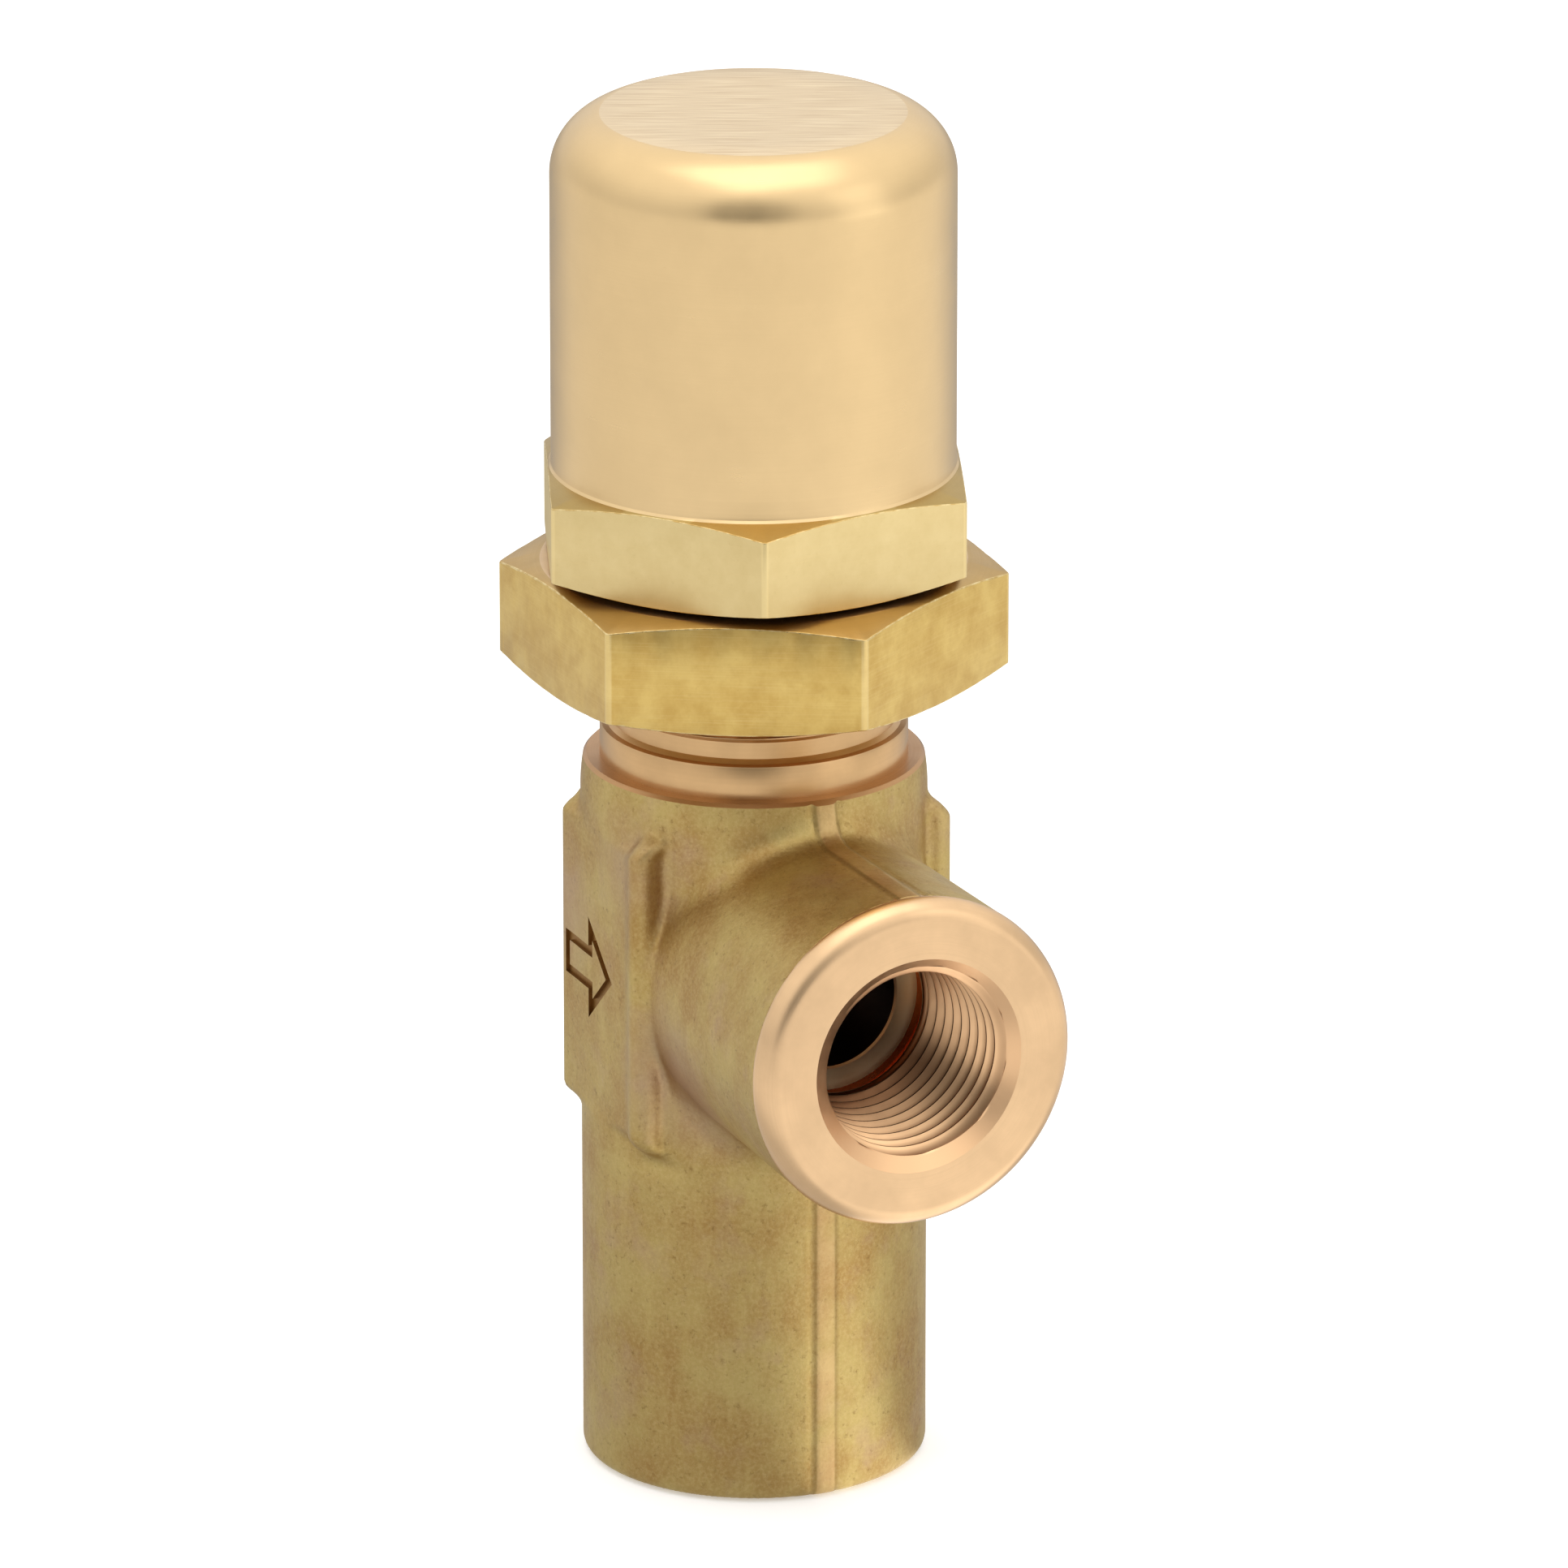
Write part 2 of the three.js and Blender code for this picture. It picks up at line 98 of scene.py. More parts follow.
# Wrench flats, with a ridge along the side of each that is next to the boss
FLAT_Y = 17.3
FLAT_HALF_WIDTH = 9.35
FLAT_LOW_Z = 38.3
FLAT_HIGH_Z = 67.8
FLAT_SINK = 2.9
FLAT_LEAN = 0.12
RIDGE_X = 9.0
RIDGE_Y = 16.15
NEAR_RIDGE_R = 1.3
FAR_RIDGE_R = 1.0
ARROW_X = -1.0
ARROW_Z = 53.0
ARROW_DEPTH = 0.45

# Parting band, where the dies met
BAND_HALF_WIDTH = 1.07
BAND_HEIGHT = 0.12
BAND_GUTTER = 0.08

# Neck
NECK_R = 15.5
NECK_GROOVE_R = 14.4
NECK_END_R = 14.2
NECK_SEAL_R = 12.9
NECK_TOP_Z = body_high[2]
NECK_THREAD_PITCH = INCH / 12
NECK_THREAD_LOW_Z = 80.7
NECK_THREAD_HIGH_Z = 107.0

# Taper pipe ports, the inlet and the outlet alike
PORT_PITCH = INCH / 14
PORT_TAPER = 1 / 32
PORT_MOUTH_R = 11.13
PORT_BORE_R = 9.35
PORT_SINK = 1.5
PORT_DEPTH = 18.2

# Lock nut and cap
NUT_AF = 1.75 * INCH
NUT_TURN = math.radians(1.24)
CAP_AF = 1.625 * INCH
CAP_TURN = math.radians(-21.65)
CAP_HEX_TOP_Z = 105.0
CAP_R = 20.26
CROWN_ARC_R = 6.35
CROWN_HEIGHT = 6.2
BLUNT_CORNER_R = 22.85
FACE_SHARE = 0.96
HEX_CHAMFER = math.radians(15)
THREAD_BORE_R = NECK_R + 0.35
THREAD_MOUTH = 0.9

# Spring
WIRE_R = 1.6
SPRING_MEAN_R = 9.2
SPRING_MIDDLE_TURNS = 7

# Stem, seat, bush, spring seats and the ball between the upper one and the cap
STEM_R = 4
SEAT_R = 6.5
SEAT_LIP_Z = 41.5
BUSH_R = 11.3
BUSH_BORE_R = STEM_R + 0.05
SPRING_SEAT_R = 10.6
SPRING_GUIDE_R = 6.6
BALL_R = 3.5
BALL_Z = 127.2


# ---------------------------------------------------------------- shader maths

class Flow:
    """A shader socket that adds, multiplies and compares like a number."""

    def __init__(self, finish, socket):
        self.finish = finish
        self.socket = socket

    def maths(self, operation, *values, clamp=False):
        settings = {"operation": operation, "use_clamp": clamp}
        return self.finish.node("ShaderNodeMath", settings, dict(enumerate(values)))

    def __add__(self, other):
        return self.maths("ADD", self, other)

    __radd__ = __add__

    def __sub__(self, other):
        return self.maths("SUBTRACT", self, other)

    def __rsub__(self, other):
        return self.maths("SUBTRACT", other, self)

    def __mul__(self, other):
        return self.maths("MULTIPLY", self, other)

    __rmul__ = __mul__

    def __truediv__(self, other):
        return self.maths("DIVIDE", self, other)

    def __pow__(self, other):
        return self.maths("POWER", self, other)

    def clamped(self):
        return self.maths("ADD", self, 0.0, clamp=True)

    def ramp(self, low, high):
        """0 below low, 1 above high, straight between them; low may be the larger."""
        return ((self - low) / (high - low)).clamped()


class Finish:
    """A material under construction, with its surface noise and its coordinates."""

    def __init__(self, name):
        self.material = bpy.data.materials.new(name)
        self.material.use_nodes = True
        self.tree = self.material.node_tree
        self.tree.nodes.clear()
        self.place = self.node("ShaderNodeTexCoord", output="Object")

    def node(self, kind, settings=None, inputs=None, output=0):
        made = self.tree.nodes.new(kind)
        for key, value in (settings or {}).items():
            setattr(made, key, value)
        for key, value in (inputs or {}).items():
            if isinstance(value, Flow):
                self.tree.links.new(value.socket, made.inputs[key])
            else:
                made.inputs[key].default_value = value
        return None if output is None else Flow(self, made.outputs[output])

    def axis(self, which):
        """Position along X, Y or Z in millimetres."""
        return self.node("ShaderNodeSeparateXYZ", None, {0: self.place}, output=which) / MM

    def from_axis(self, about="Z"):
        """Distance from the barrel's axis, or the outlet's for X, then the ways along it and across it."""
        x, y, z = self.axis(0), self.axis(1), self.axis(2)
        if about == "X":
            u, v, along = y, z - OUTLET_Z, x - AXIS_X
        else:
            u, v, along = x - AXIS_X, y, z
        return (u * u + v * v) ** 0.5, along, u

    def distance(self, x, y, z):
        """Distance in millimetres from a point on the barrel's own axes."""
        across, side, along = self.axis(0) - (AXIS_X + x), self.axis(1) - y, self.axis(2) - z
        return (across * across + side * side + along * along) ** 0.5

    def noise(self, grain, detail=2.0, roughness=0.5, shift=(0.0, 0.0, 0.0)):
        """Noise with a grain in millimetres, one number or one for each axis."""
        size = grain if isinstance(grain, tuple) else (grain, grain, grain)
        factors = tuple(1 / (MM * length) for length in size)
        settings = {"Vector": self.place, "Scale": factors, "Location": shift}
        placed = self.node("ShaderNodeMapping", None, settings)
        inputs = {"Vector": placed, "Scale": 1.0, "Detail": detail, "Roughness": roughness}
        return self.node("ShaderNodeTexNoise", None, inputs)

    def turning(self, grain, about="Z", detail=2.0):
        """Fine marks round the axis, as a lathe tool leaves them."""
        radius, along, across = self.from_axis(about)
        inputs = {0: radius / grain, 1: along / grain, 2: across * 0.03}
        placed = self.node("ShaderNodeCombineXYZ", None, inputs)
        return self.node("ShaderNodeTexNoise", None, {"Vector": placed, "Scale": 1.0, "Detail": detail})

    def strokes(self, length, width, heading):
        """Straight marks along a heading from +X, as a belt leaves them on a level face."""
        x, y = self.axis(0), self.axis(1)
        along = x * math.cos(heading) + y * math.sin(heading)
        across = y * math.cos(heading) - x * math.sin(heading)
        placed = self.node("ShaderNodeCombineXYZ", None, {0: along / length, 1: across / width})
        inputs = {"Vector": placed, "Scale": 1.0, "Detail": 3.0, "Roughness": 0.6}
        return self.node("ShaderNodeTexNoise", None, inputs)

    def blend(self, factor, first, second):
        settings = {"data_type": "RGBA"}
        return self.node("ShaderNodeMix", settings, {"Factor": factor, 6: first, 7: second}, output=2)

    def bump(self, height, distance, strength=1.0, normal=None):
        inputs = {"Height": height, "Distance": distance * MM, "Strength": strength}
        if normal is not None:
            inputs["Normal"] = normal
        return self.node("ShaderNodeBump", None, inputs)

    def shade(self, **sockets):
        names = {"color": "Base Color", "metallic": "Metallic", "roughness": "Roughness", "normal": "Normal",
                 "emission": "Emission Color", "emission_strength": "Emission Strength"}
        inputs = {names[key]: value for key, value in sockets.items()}
        shader = self.node("ShaderNodeBsdfPrincipled", None, inputs)
        self.node("ShaderNodeOutputMaterial", None, {"Surface": shader}, output=None)
        return self.material


class Surround(Finish):
    """The studio round the valve, made with the same expressions on the way each ray goes."""

    def __init__(self, name):
        self.world = bpy.data.worlds.new(name)
        self.world.use_nodes = True
        self.tree = self.world.node_tree
        self.tree.nodes.clear()
        self.place = self.node("ShaderNodeTexCoord")

    def toward(self, azimuth, elevation):
        """1 straight towards a point of the surround, 0 at right angles to it."""
        a, e = math.radians(azimuth), math.radians(elevation)
        way = (math.cos(e) * math.cos(a), math.cos(e) * math.sin(a), math.sin(e))
        inputs = {0: self.place, 1: way}
        return self.node("ShaderNodeVectorMath", {"operation": "DOT_PRODUCT"}, inputs, output=1)

    def glow(self, strength):
        light = self.node("ShaderNodeBackground", None, {"Color": (1, 1, 1, 1), "Strength": strength})
        self.node("ShaderNodeOutputWorld", None, {"Surface": light}, output=None)
        return self.world


def rgb(red, green, blue):
    """Opaque colour from 0-255 display values."""
    def linear(value):
        part = value / 255
        return part / 12.92 if part <= 0.04045 else ((part + 0.055) / 1.055) ** 2.4
    return (linear(red), linear(green), linear(blue), 1.0)


# ---------------------------------------------------------------- meshes

def mesh_object(name, points, faces, materials, face_materials=None, sharp=35):
    """Object from points in millimetres on the barrel's axis, with coincident points merged."""
    mesh = bpy.data.meshes.new(name)
    placed = (np.asarray(points, float) + (AXIS_X, 0, 0)) * MM
    mesh.from_pydata(placed.tolist(), [], faces)
    for material in materials:
        mesh.materials.append(material)
    if face_materials is not None:
        mesh.polygons.foreach_set("material_index", np.asarray(face_materials, np.int32))
    made = bpy.data.objects.new(name, mesh)
    bpy.context.scene.collection.objects.link(made)
    merge_close(mesh)
    finish_shading(mesh, sharp)
    return made


def merge_close(mesh):
    work = bmesh.new()
    work.from_mesh(mesh)
    bmesh.ops.remove_doubles(work, verts=work.verts, dist=2e-6)
    bmesh.ops.recalc_face_normals(work, faces=work.faces)
    work.to_mesh(mesh)
    work.free()


def finish_shading(mesh, sharp):
    mesh.shade_smooth()
    mesh.set_sharp_from_angle(angle=math.radians(sharp))


def boolean(target, tool, operation):
    """Cut or join two closed meshes, keeping each one's materials, and drop the tool."""
    modifier = target.modifiers.new("cut", "BOOLEAN")
    modifier.solver = "MANIFOLD"
    modifier.material_mode = "TRANSFER"
    modifier.operation = operation
    modifier.object = tool
    graph = bpy.context.evaluated_depsgraph_get()
    result = bpy.data.meshes.new_from_object(target.evaluated_get(graph))
    target.modifiers.clear()
    target.data = result
    bpy.data.objects.remove(tool)
    return target


class Spin:
    """Solid of revolution whose radius and height may change round the axis, as on a hexagon or a thread.

    Each ring holds a radius and a height for every column. A thread's rows climb one pitch in one turn,
    so at the seam they meet the rows a pitch further on."""

    def __init__(self, columns=192, angles=None):
        self.angles = np.arange(columns) * TAU / columns if angles is None else np.asarray(angles)
        self.rings = []
        self.seam = []
        self.finish = []

    def ring(self, radius, height, finish=0, meets=None):
        count = len(self.angles)
        values = (np.broadcast_to(value, count).astype(float) for value in (radius, height))
        self.rings.append(tuple(values))
        self.seam.append(len(self.rings) - 1 if meets is None else meets)
        self.finish.append(finish)
        return self

    def path(self, points, finish=0):
        for radius, height in points:
            self.ring(radius, height, finish)
        return self

    def thread(self, start, end, pitch, shape, finish=0, rows_per_turn=20):
        """Helical rows from height start to end; shape(phase, height) gives the radius."""
        step = pitch / rows_per_turn * (1 if end > start else -1)
        climb = np.sign(step) * pitch * self.angles / TAU
        rows = rows_per_turn + math.ceil(abs(end - start) / abs(step))
        first = len(self.rings)
        low, high = min(start, end), max(start, end)
        for row in range(rows + 1):
            height = np.clip(start + (row - rows_per_turn) * step + climb, low, high)
            phase = np.full_like(height, (row % rows_per_turn) / rows_per_turn)
            meets = first + min(row + rows_per_turn, rows)
            self.ring(shape(phase, height), height, finish, meets)
        return self

    def build(self, name, materials, along=None, sharp=35):
        """along turns the solid's axis from +Z to a given (origin, direction)."""
        count = len(self.angles)
        cos, sin = np.cos(self.angles), np.sin(self.angles)
        points = np.array([np.stack([r * cos, r * sin, z], 1) for r, z in self.rings]).reshape(-1, 3)
        faces, finishes = [], []
        closed = self.rings[0][0].max() > 1e-6
        rows = len(self.rings)
        for row in range(rows if closed else rows - 1):
            after = (row + 1) % rows
            for column in range(count):
                if column < count - 1:
                    ids = (row * count + column, row * count + column + 1,
                           after * count + column + 1, after * count + column)
                else:
                    ids = (row * count + column, self.seam[row] * count,
                           self.seam[after] * count, after * count + column)
                faces.append(ids)
                finishes.append(self.finish[row])
        if along is not None:
            origin, direction = along
            turn = np.array(Vector((0, 0, 1)).rotation_difference(Vector(direction)).to_matrix())
            points = points @ turn.T + np.asarray(origin, float)
        return mesh_object(name, points, faces, materials, finishes, sharp)


def rounded(points, radius, steps=4):
    """The same outline, which closes on itself or ends on the axis, with its corners rounded."""
    flat = [np.array(p, float) for p in points]
    on_axis = flat[0][0] == 0
    out = []
    for i, here in enumerate(flat):
        back, ahead = flat[i - 1] - here, flat[(i + 1) % len(flat)] - here
        if on_axis and here[0] == 0:
            out.append(here)
            continue
        cut = min(radius, 0.45 * np.linalg.norm(back), 0.45 * np.linalg.norm(ahead))
        start = here + back / np.linalg.norm(back) * cut
        end = here + ahead / np.linalg.norm(ahead) * cut
        for t in np.linspace(0, 1, steps):
            out.append((1 - t) ** 2 * start + 2 * t * (1 - t) * here + t ** 2 * end)
    return out


# ---------------------------------------------------------------- forged skin

def smooth_min(a, b, radius):
    h = np.clip(0.5 + 0.5 * (b - a) / radius, 0, 1)
    return b + (a - b) * h - radius * h * (1 - h)


def smooth_max(a, b, radius):
    return -smooth_min(-a, -b, radius)


def smooth_step(x, low, high):
    t = np.clip((x - low) / (high - low), 0, 1)
    return t * t * (3 - 2 * t)


def past_flats(z):
    """0 along the wrench flats, 1 beyond both of their ends."""
    above = smooth_step(z, FLAT_HIGH_Z - 0.2, FLAT_HIGH_Z + 2.4)
    below = smooth_step(-z, -FLAT_LOW_Z - 0.4, -FLAT_LOW_Z + 3.0)
    return above + below


def barrel_form(x, y, z):
    taper = COLLAR_TAPER * np.clip((z - COLLAR_Z) / COLLAR_HEIGHT, 0, 1.2) ** 2
    return np.hypot(x, y) - BARREL_R + taper


def boss_form(x, y, z):
    radius = BOSS_R - BOSS_DRAFT * np.clip(OUTLET_FACE_X - x, 0, BOSS_LENGTH)
    return np.maximum(np.hypot(y, z - OUTLET_Z) - radius, -x)


def flats_form(x, side_y, z):
    """Block between the wrench flats, whose ends turn down into the barrel and stop inside it."""
    beyond = np.clip(z - FLAT_HIGH_Z - 1.5, 0, 2) + np.clip(FLAT_LOW_Z - 1.5 - z, 0, 2)
    face = side_y - FLAT_Y + FLAT_SINK * past_flats(z) + 0.8 * beyond
    lean = FLAT_LEAN * (FLAT_Y - side_y)
    return smooth_max(face, np.abs(x) - FLAT_HALF_WIDTH - lean, 1.2)


def ridge_form(x, y, z):
    """Round ridge beside each flat, with ends that sink, and lower on the far side."""
    nearest = np.clip(z, FLAT_LOW_Z - 0.6, FLAT_HIGH_Z + 1.0)
    sinks = smooth_step(z, FLAT_HIGH_Z, FLAT_HIGH_Z + 2.2)
    sinks = sinks + smooth_step(-z, -FLAT_LOW_Z, 2.0 - FLAT_LOW_Z)
    radius = np.where(y < 0, NEAR_RIDGE_R, FAR_RIDGE_R)
    off_y = np.abs(y) - RIDGE_Y + 0.9 * sinks
    return np.sqrt((x - RIDGE_X) ** 2 + off_y ** 2 + (z - nearest) ** 2) - radius


def forging(x, y, z):
    """Signed distance, near enough, to the forged outside of the body."""
    side_y = np.abs(y)
    body = smooth_min(barrel_form(x, y, z), flats_form(x, side_y, z), 0.9)
    fillet = 3.4 - 2.5 * smooth_step(side_y, 9, 16)
    body = smooth_min(body, boss_form(x, y, z), fillet)
    level = side_y - FLAT_Y - 1.5 * past_flats(z) - 1.5 * smooth_step(x, RIDGE_X - 0.2, RIDGE_X + 1.6)
    body = smooth_max(body, level, 0.3)
    body = smooth_min(body, ridge_form(x, y, z), 1.4)

    # Shallow pocket under the foot of the near ridge
    pocket = np.exp(-(((x - RIDGE_X) / 2.0) ** 2) - (z - FLAT_LOW_Z + 3.2) ** 2) * (y < -8)
    body = body + 0.35 * pocket

    # Band all round the parting plane, between two gutters
    band = 1 - smooth_step(side_y, BAND_HALF_WIDTH - 0.12, BAND_HALF_WIDTH + 0.12)
    gutter = np.exp(-(((side_y - BAND_HALF_WIDTH - 0.35) / 0.28) ** 2))
    body = body - BAND_HEIGHT * band + BAND_GUTTER * gutter

    # Foot, end of the boss and top, which the machined faces then cut
    body = smooth_max(body, -z, FOOT_R)
    body = smooth_max(body, x - (OUTLET_FACE_X - BOSS_EDGE - 0.05), 0.25)
    return np.maximum(body, z - SHOULDER_Z - 1.2)


def surface_net(field, low, high, step):
    """Quads along the zero of a field, pulled onto it exactly."""
    axes = [np.arange(a, b + step, step) for a, b in zip(low, high)]
    grid = np.meshgrid(*axes, indexing="ij")
    value = field(*grid)
    cells = tuple(n - 1 for n in value.shape)
    total = np.zeros(cells + (3,))
    count = np.zeros(cells)
    crossings = []
    for axis in range(3):
        a = value[tuple(slice(0, -1) if k == axis else slice(None) for k in range(3))]
        b = value[tuple(slice(1, None) if k == axis else slice(None) for k in range(3))]
        ids = np.argwhere((a < 0) != (b < 0))
        u, v = (axis + 1) % 3, (axis + 2) % 3
        inside = (ids[:, u] > 0) & (ids[:, v] > 0) & (ids[:, u] < cells[u]) & (ids[:, v] < cells[v])
        ids = ids[inside]
        first, second = a[tuple(ids.T)], b[tuple(ids.T)]
        point = ids.astype(float)
        point[:, axis] += first / (first - second)
        around = []
        for du, dv in ((-1, -1), (0, -1), (0, 0), (-1, 0)):
            cell = ids.copy()
            cell[:, u] += du
            cell[:, v] += dv
            np.add.at(total, tuple(cell.T), point)
            np.add.at(count, tuple(cell.T), 1)
            around.append(cell)
        crossings.append((around, first < 0))
    used = count > 0
    number = np.full(cells, -1)
    number[used] = np.arange(used.sum())
    points = total[used] / count[used][:, None] * step + np.asarray(low, float)
    faces = []
    for around, inward in crossings:
        quad = np.stack([number[tuple(c.T)] for c in around], 1)
        quad[~inward] = quad[~inward][:, ::-1]
        faces.append(quad)
    faces = np.concatenate(faces)
    return pulled_on(field, points), faces.tolist()


def slopes(field, points, reach=0.05):
    rise = []
    for axis in range(3):
        shift = np.zeros(3)
        shift[axis] = reach
        rise.append((field(*(points + shift).T) - field(*(points - shift).T)) / (2 * reach))
    return np.stack(rise, 1)


def pulled_on(field, points, rounds=3):
    for _ in range(rounds):
        slope = slopes(field, points)
        size = np.maximum((slope ** 2).sum(1), 0.05)
        move = (field(*points.T) / size)[:, None] * slope
        points = points - np.clip(move, -0.25, 0.25)
    return points


# ---------------------------------------------------------------- finishes

def forged_brass():
    """Tumbled skin: olive and golden clouds, greyish pink patches, a pale fine grain and the parting band."""
    f = Finish("forged_brass")
    tint = f.blend(f.noise(9.0, 4.0, 0.6).ramp(0.38, 0.62), rgb(190, 166, 104), rgb(174, 140, 83))
    tint = f.blend(f.noise(7.0, 4.0, 0.6, (4.0, 9.0, 2.0)).ramp(0.54, 0.7) * 0.45, tint, rgb(186, 154, 124))
    streaks = f.noise((2.2, 2.2, 10.0), 4.0, 0.6, (7.0, 1.0, 3.0))
    tint = f.blend(streaks.ramp(0.5, 0.7) * 0.35, tint, rgb(206, 182, 116))
    tint = f.blend(f.noise(0.4, 3.0, 0.65).ramp(0.42, 0.75) * 0.45, tint, rgb(212, 186, 128))
    tint = f.blend(f.noise(0.7, 4.0, 0.7, (1.0, 5.0, 8.0)).ramp(0.42, 0.25) * 0.6, tint, rgb(124, 94, 50))
    pink_patches = ((15, -13, 46, 10, 0.7), (6, -14, 66, 7, 0.35), (-8, -17, 58, 8, 0.4),
                    (2, 17, 44, 11, 0.6), (-17, 3, 40, 12, 0.5))
    for x, y, z, size, strength in pink_patches:
        far = f.distance(x, y, z) + 5 * f.noise(3.0, 3.0, 0.6, (2.0, 2.0, 6.0))
        tint = f.blend(far.ramp(size + 3, 4) * strength, tint, rgb(188, 158, 140))
    off = f.node("ShaderNodeMath", {"operation": "ABSOLUTE"}, {0: f.axis(1)})
    worn = f.noise(5.0, 3.0).ramp(0.3, 0.6)
    tint = f.blend(off.ramp(1.1, 0.9) * worn * 0.4, tint, rgb(214, 176, 130))
    tint = f.blend(off.ramp(0.9, 1.1) * off.ramp(1.6, 1.2) * 0.35, tint, rgb(120, 90, 52))
    rough = 0.36 + 0.2 * f.noise(3.0, 4.0)
    pits = f.noise(0.5, 4.0, 0.65) + 0.8 * f.noise(2.6, 2.0)
    return f.shade(color=tint, metallic=1.0, roughness=rough, normal=f.bump(pits, 0.07, 0.6))


def turned_brass(name, color, about="Z", grain=0.11, rough=0.27, depth=0.004, shade=0.86):
    """Bright turned face with tool marks round its axis."""
    f = Finish(name)
    dim = tuple(c * shade for c in color[:3]) + (1.0,)
    tint = f.blend(f.noise(7.0, 4.0, 0.6).ramp(0.35, 0.65), color, dim)
    marks = f.turning(grain, about)
    tint = f.blend(marks.ramp(0.35, 0.65) * 0.25, tint, dim)
    roughness = f.noise(3.0, 4.0) * 0.12 + marks * 0.08 + (rough - 0.08)
    return f.shade(color=tint, metallic=1.0, roughness=roughness, normal=f.bump(marks, depth, 0.6))


def threaded_brass(name, crest, root, about, crest_r, root_r, starts, ends):
    """Thread with painted shade that darkens it from its crests, at crest_r from the axis, to its roots, once
    it has begun.

    The outlet's has more painted shade low down and far in."""
    f = Finish(name)
    radius, along, _ = f.from_axis(about)
    # Painted shade: darker from the crests to the roots
    depth = radius.ramp(crest_r, root_r) * along.ramp(starts, ends)
    tint = f.blend(depth, crest, root)
    # Painted shade: darker low down and far into the outlet port
    deep_painted_shade = along.ramp(starts - 3, starts - 14) * f.axis(2).ramp(56.0, 48.0)
    tint = f.blend(deep_painted_shade * 0.85, tint, root)
    marks = f.turning(0.09, about)
    rough = 0.24 + 0.14 * f.noise(1.2, 3.0)
    return f.shade(color=tint, metallic=1.0, roughness=rough, normal=f.bump(marks, 0.004, 0.5))


def brushed_top():
    """Crown's flat, brushed straight across."""
    f = Finish("cap_top")
    strokes = f.strokes(9.0, 0.16, math.radians(65.7))
    tint = f.blend(strokes.ramp(0.35, 0.65), rgb(214, 186, 146), rgb(246, 226, 190))
    rough = 0.3 + 0.14 * strokes
    return f.shade(color=tint, metallic=1.0, roughness=rough, normal=f.bump(strokes, 0.006, 0.7))


def milled_brass(name, color, mottle, rough, scratches, corner_r):
    """Hexagon flat: drawn bar with light handling marks that run round the piece."""
    f = Finish(name)
    tint = f.blend(f.noise(3.5, 4.0, 0.65).ramp(0.35, 0.65), color, mottle)
    lines = f.noise((8.0, 8.0, 0.14), 3.0, 0.6)
    tint = f.blend(lines.ramp(0.5, 0.7) * scratches, tint, rgb(246, 222, 160))
    tint = f.blend(f.noise(0.5, 3.0, 0.7).ramp(0.62, 0.74) * scratches, tint, rgb(160, 124, 64))
    # Painted highlight: paler along the hexagon's rounded corners
    radius, _, _ = f.from_axis()
    tint = f.blend(radius.ramp(corner_r - 0.1, corner_r - 0.02) * 0.4, tint, rgb(250, 226, 164))
    roughness = f.noise(2.0, 4.0) * 0.16 + lines * 0.1 + (rough - 0.13)
    height = 2 * scratches * lines + 0.5 * f.noise(0.7, 3.0)
    return f.shade(color=tint, metallic=1.0, roughness=roughness, normal=f.bump(height, 0.006, 0.6))


def worn_edge():
    """Pale burnished rim of the hexagons."""
    f = Finish("worn_edge")
    tint = f.blend(f.noise(0.8, 3.0).ramp(0.35, 0.65), rgb(236, 214, 158), rgb(206, 174, 108))
    return f.shade(color=tint, metallic=1.0, roughness=0.2 + 0.2 * f.noise(0.5, 2.0))


def steel(name, color, rough, grain):
    f = Finish(name)
    dim = tuple(c * 0.8 for c in color[:3]) + (1.0,)
    marks = f.turning(grain)
    tint = f.blend(f.noise(4.0, 3.0), color, dim)
    roughness = f.noise(1.5, 3.0) * 0.12 + (rough - 0.06)
    return f.shade(color=tint, metallic=1.0, roughness=roughness, normal=f.bump(marks, 0.005, 0.5))


def moulded(name, color, rough, grain):
    f = Finish(name)
    pale = tuple(min(c * 1.3 + 0.01, 1.0) for c in color[:3]) + (1.0,)
    grains = f.noise(grain, 3.0, 0.6)
    tint = f.blend(grains, color, pale)
    roughness = f.noise(1.0, 2.0) * 0.15 + rough
    return f.shade(color=tint, metallic=0.0, roughness=roughness, normal=f.bump(grains, 0.01, 0.5))


FORGED = forged_brass()
GROOVE = turned_brass("forged_groove", rgb(158, 118, 64), "Z", 0.4, 0.45, 0.01, 0.8)
BOSS_FACE = turned_brass("boss_face", rgb(234, 196, 151), "X", 0.13, 0.3)
NECK_FACE = turned_brass("neck_face", rgb(216, 176, 126), "Z", 0.4, 0.3, 0.002)
# Turned shoulder, its brass darkened as painted shade
SHADED_SHOULDER_FACE = turned_brass("shoulder_face_painted_shade", rgb(196, 152, 106), "Z", 0.16, 0.3)
BORED = turned_brass("bored_brass", rgb(238, 150, 92), "X", 0.6, 0.24, 0.003, 0.93)
PORT_RING = turned_brass("port_ring", rgb(252, 230, 186), "X", 0.3, 0.32, 0.003, 0.95)
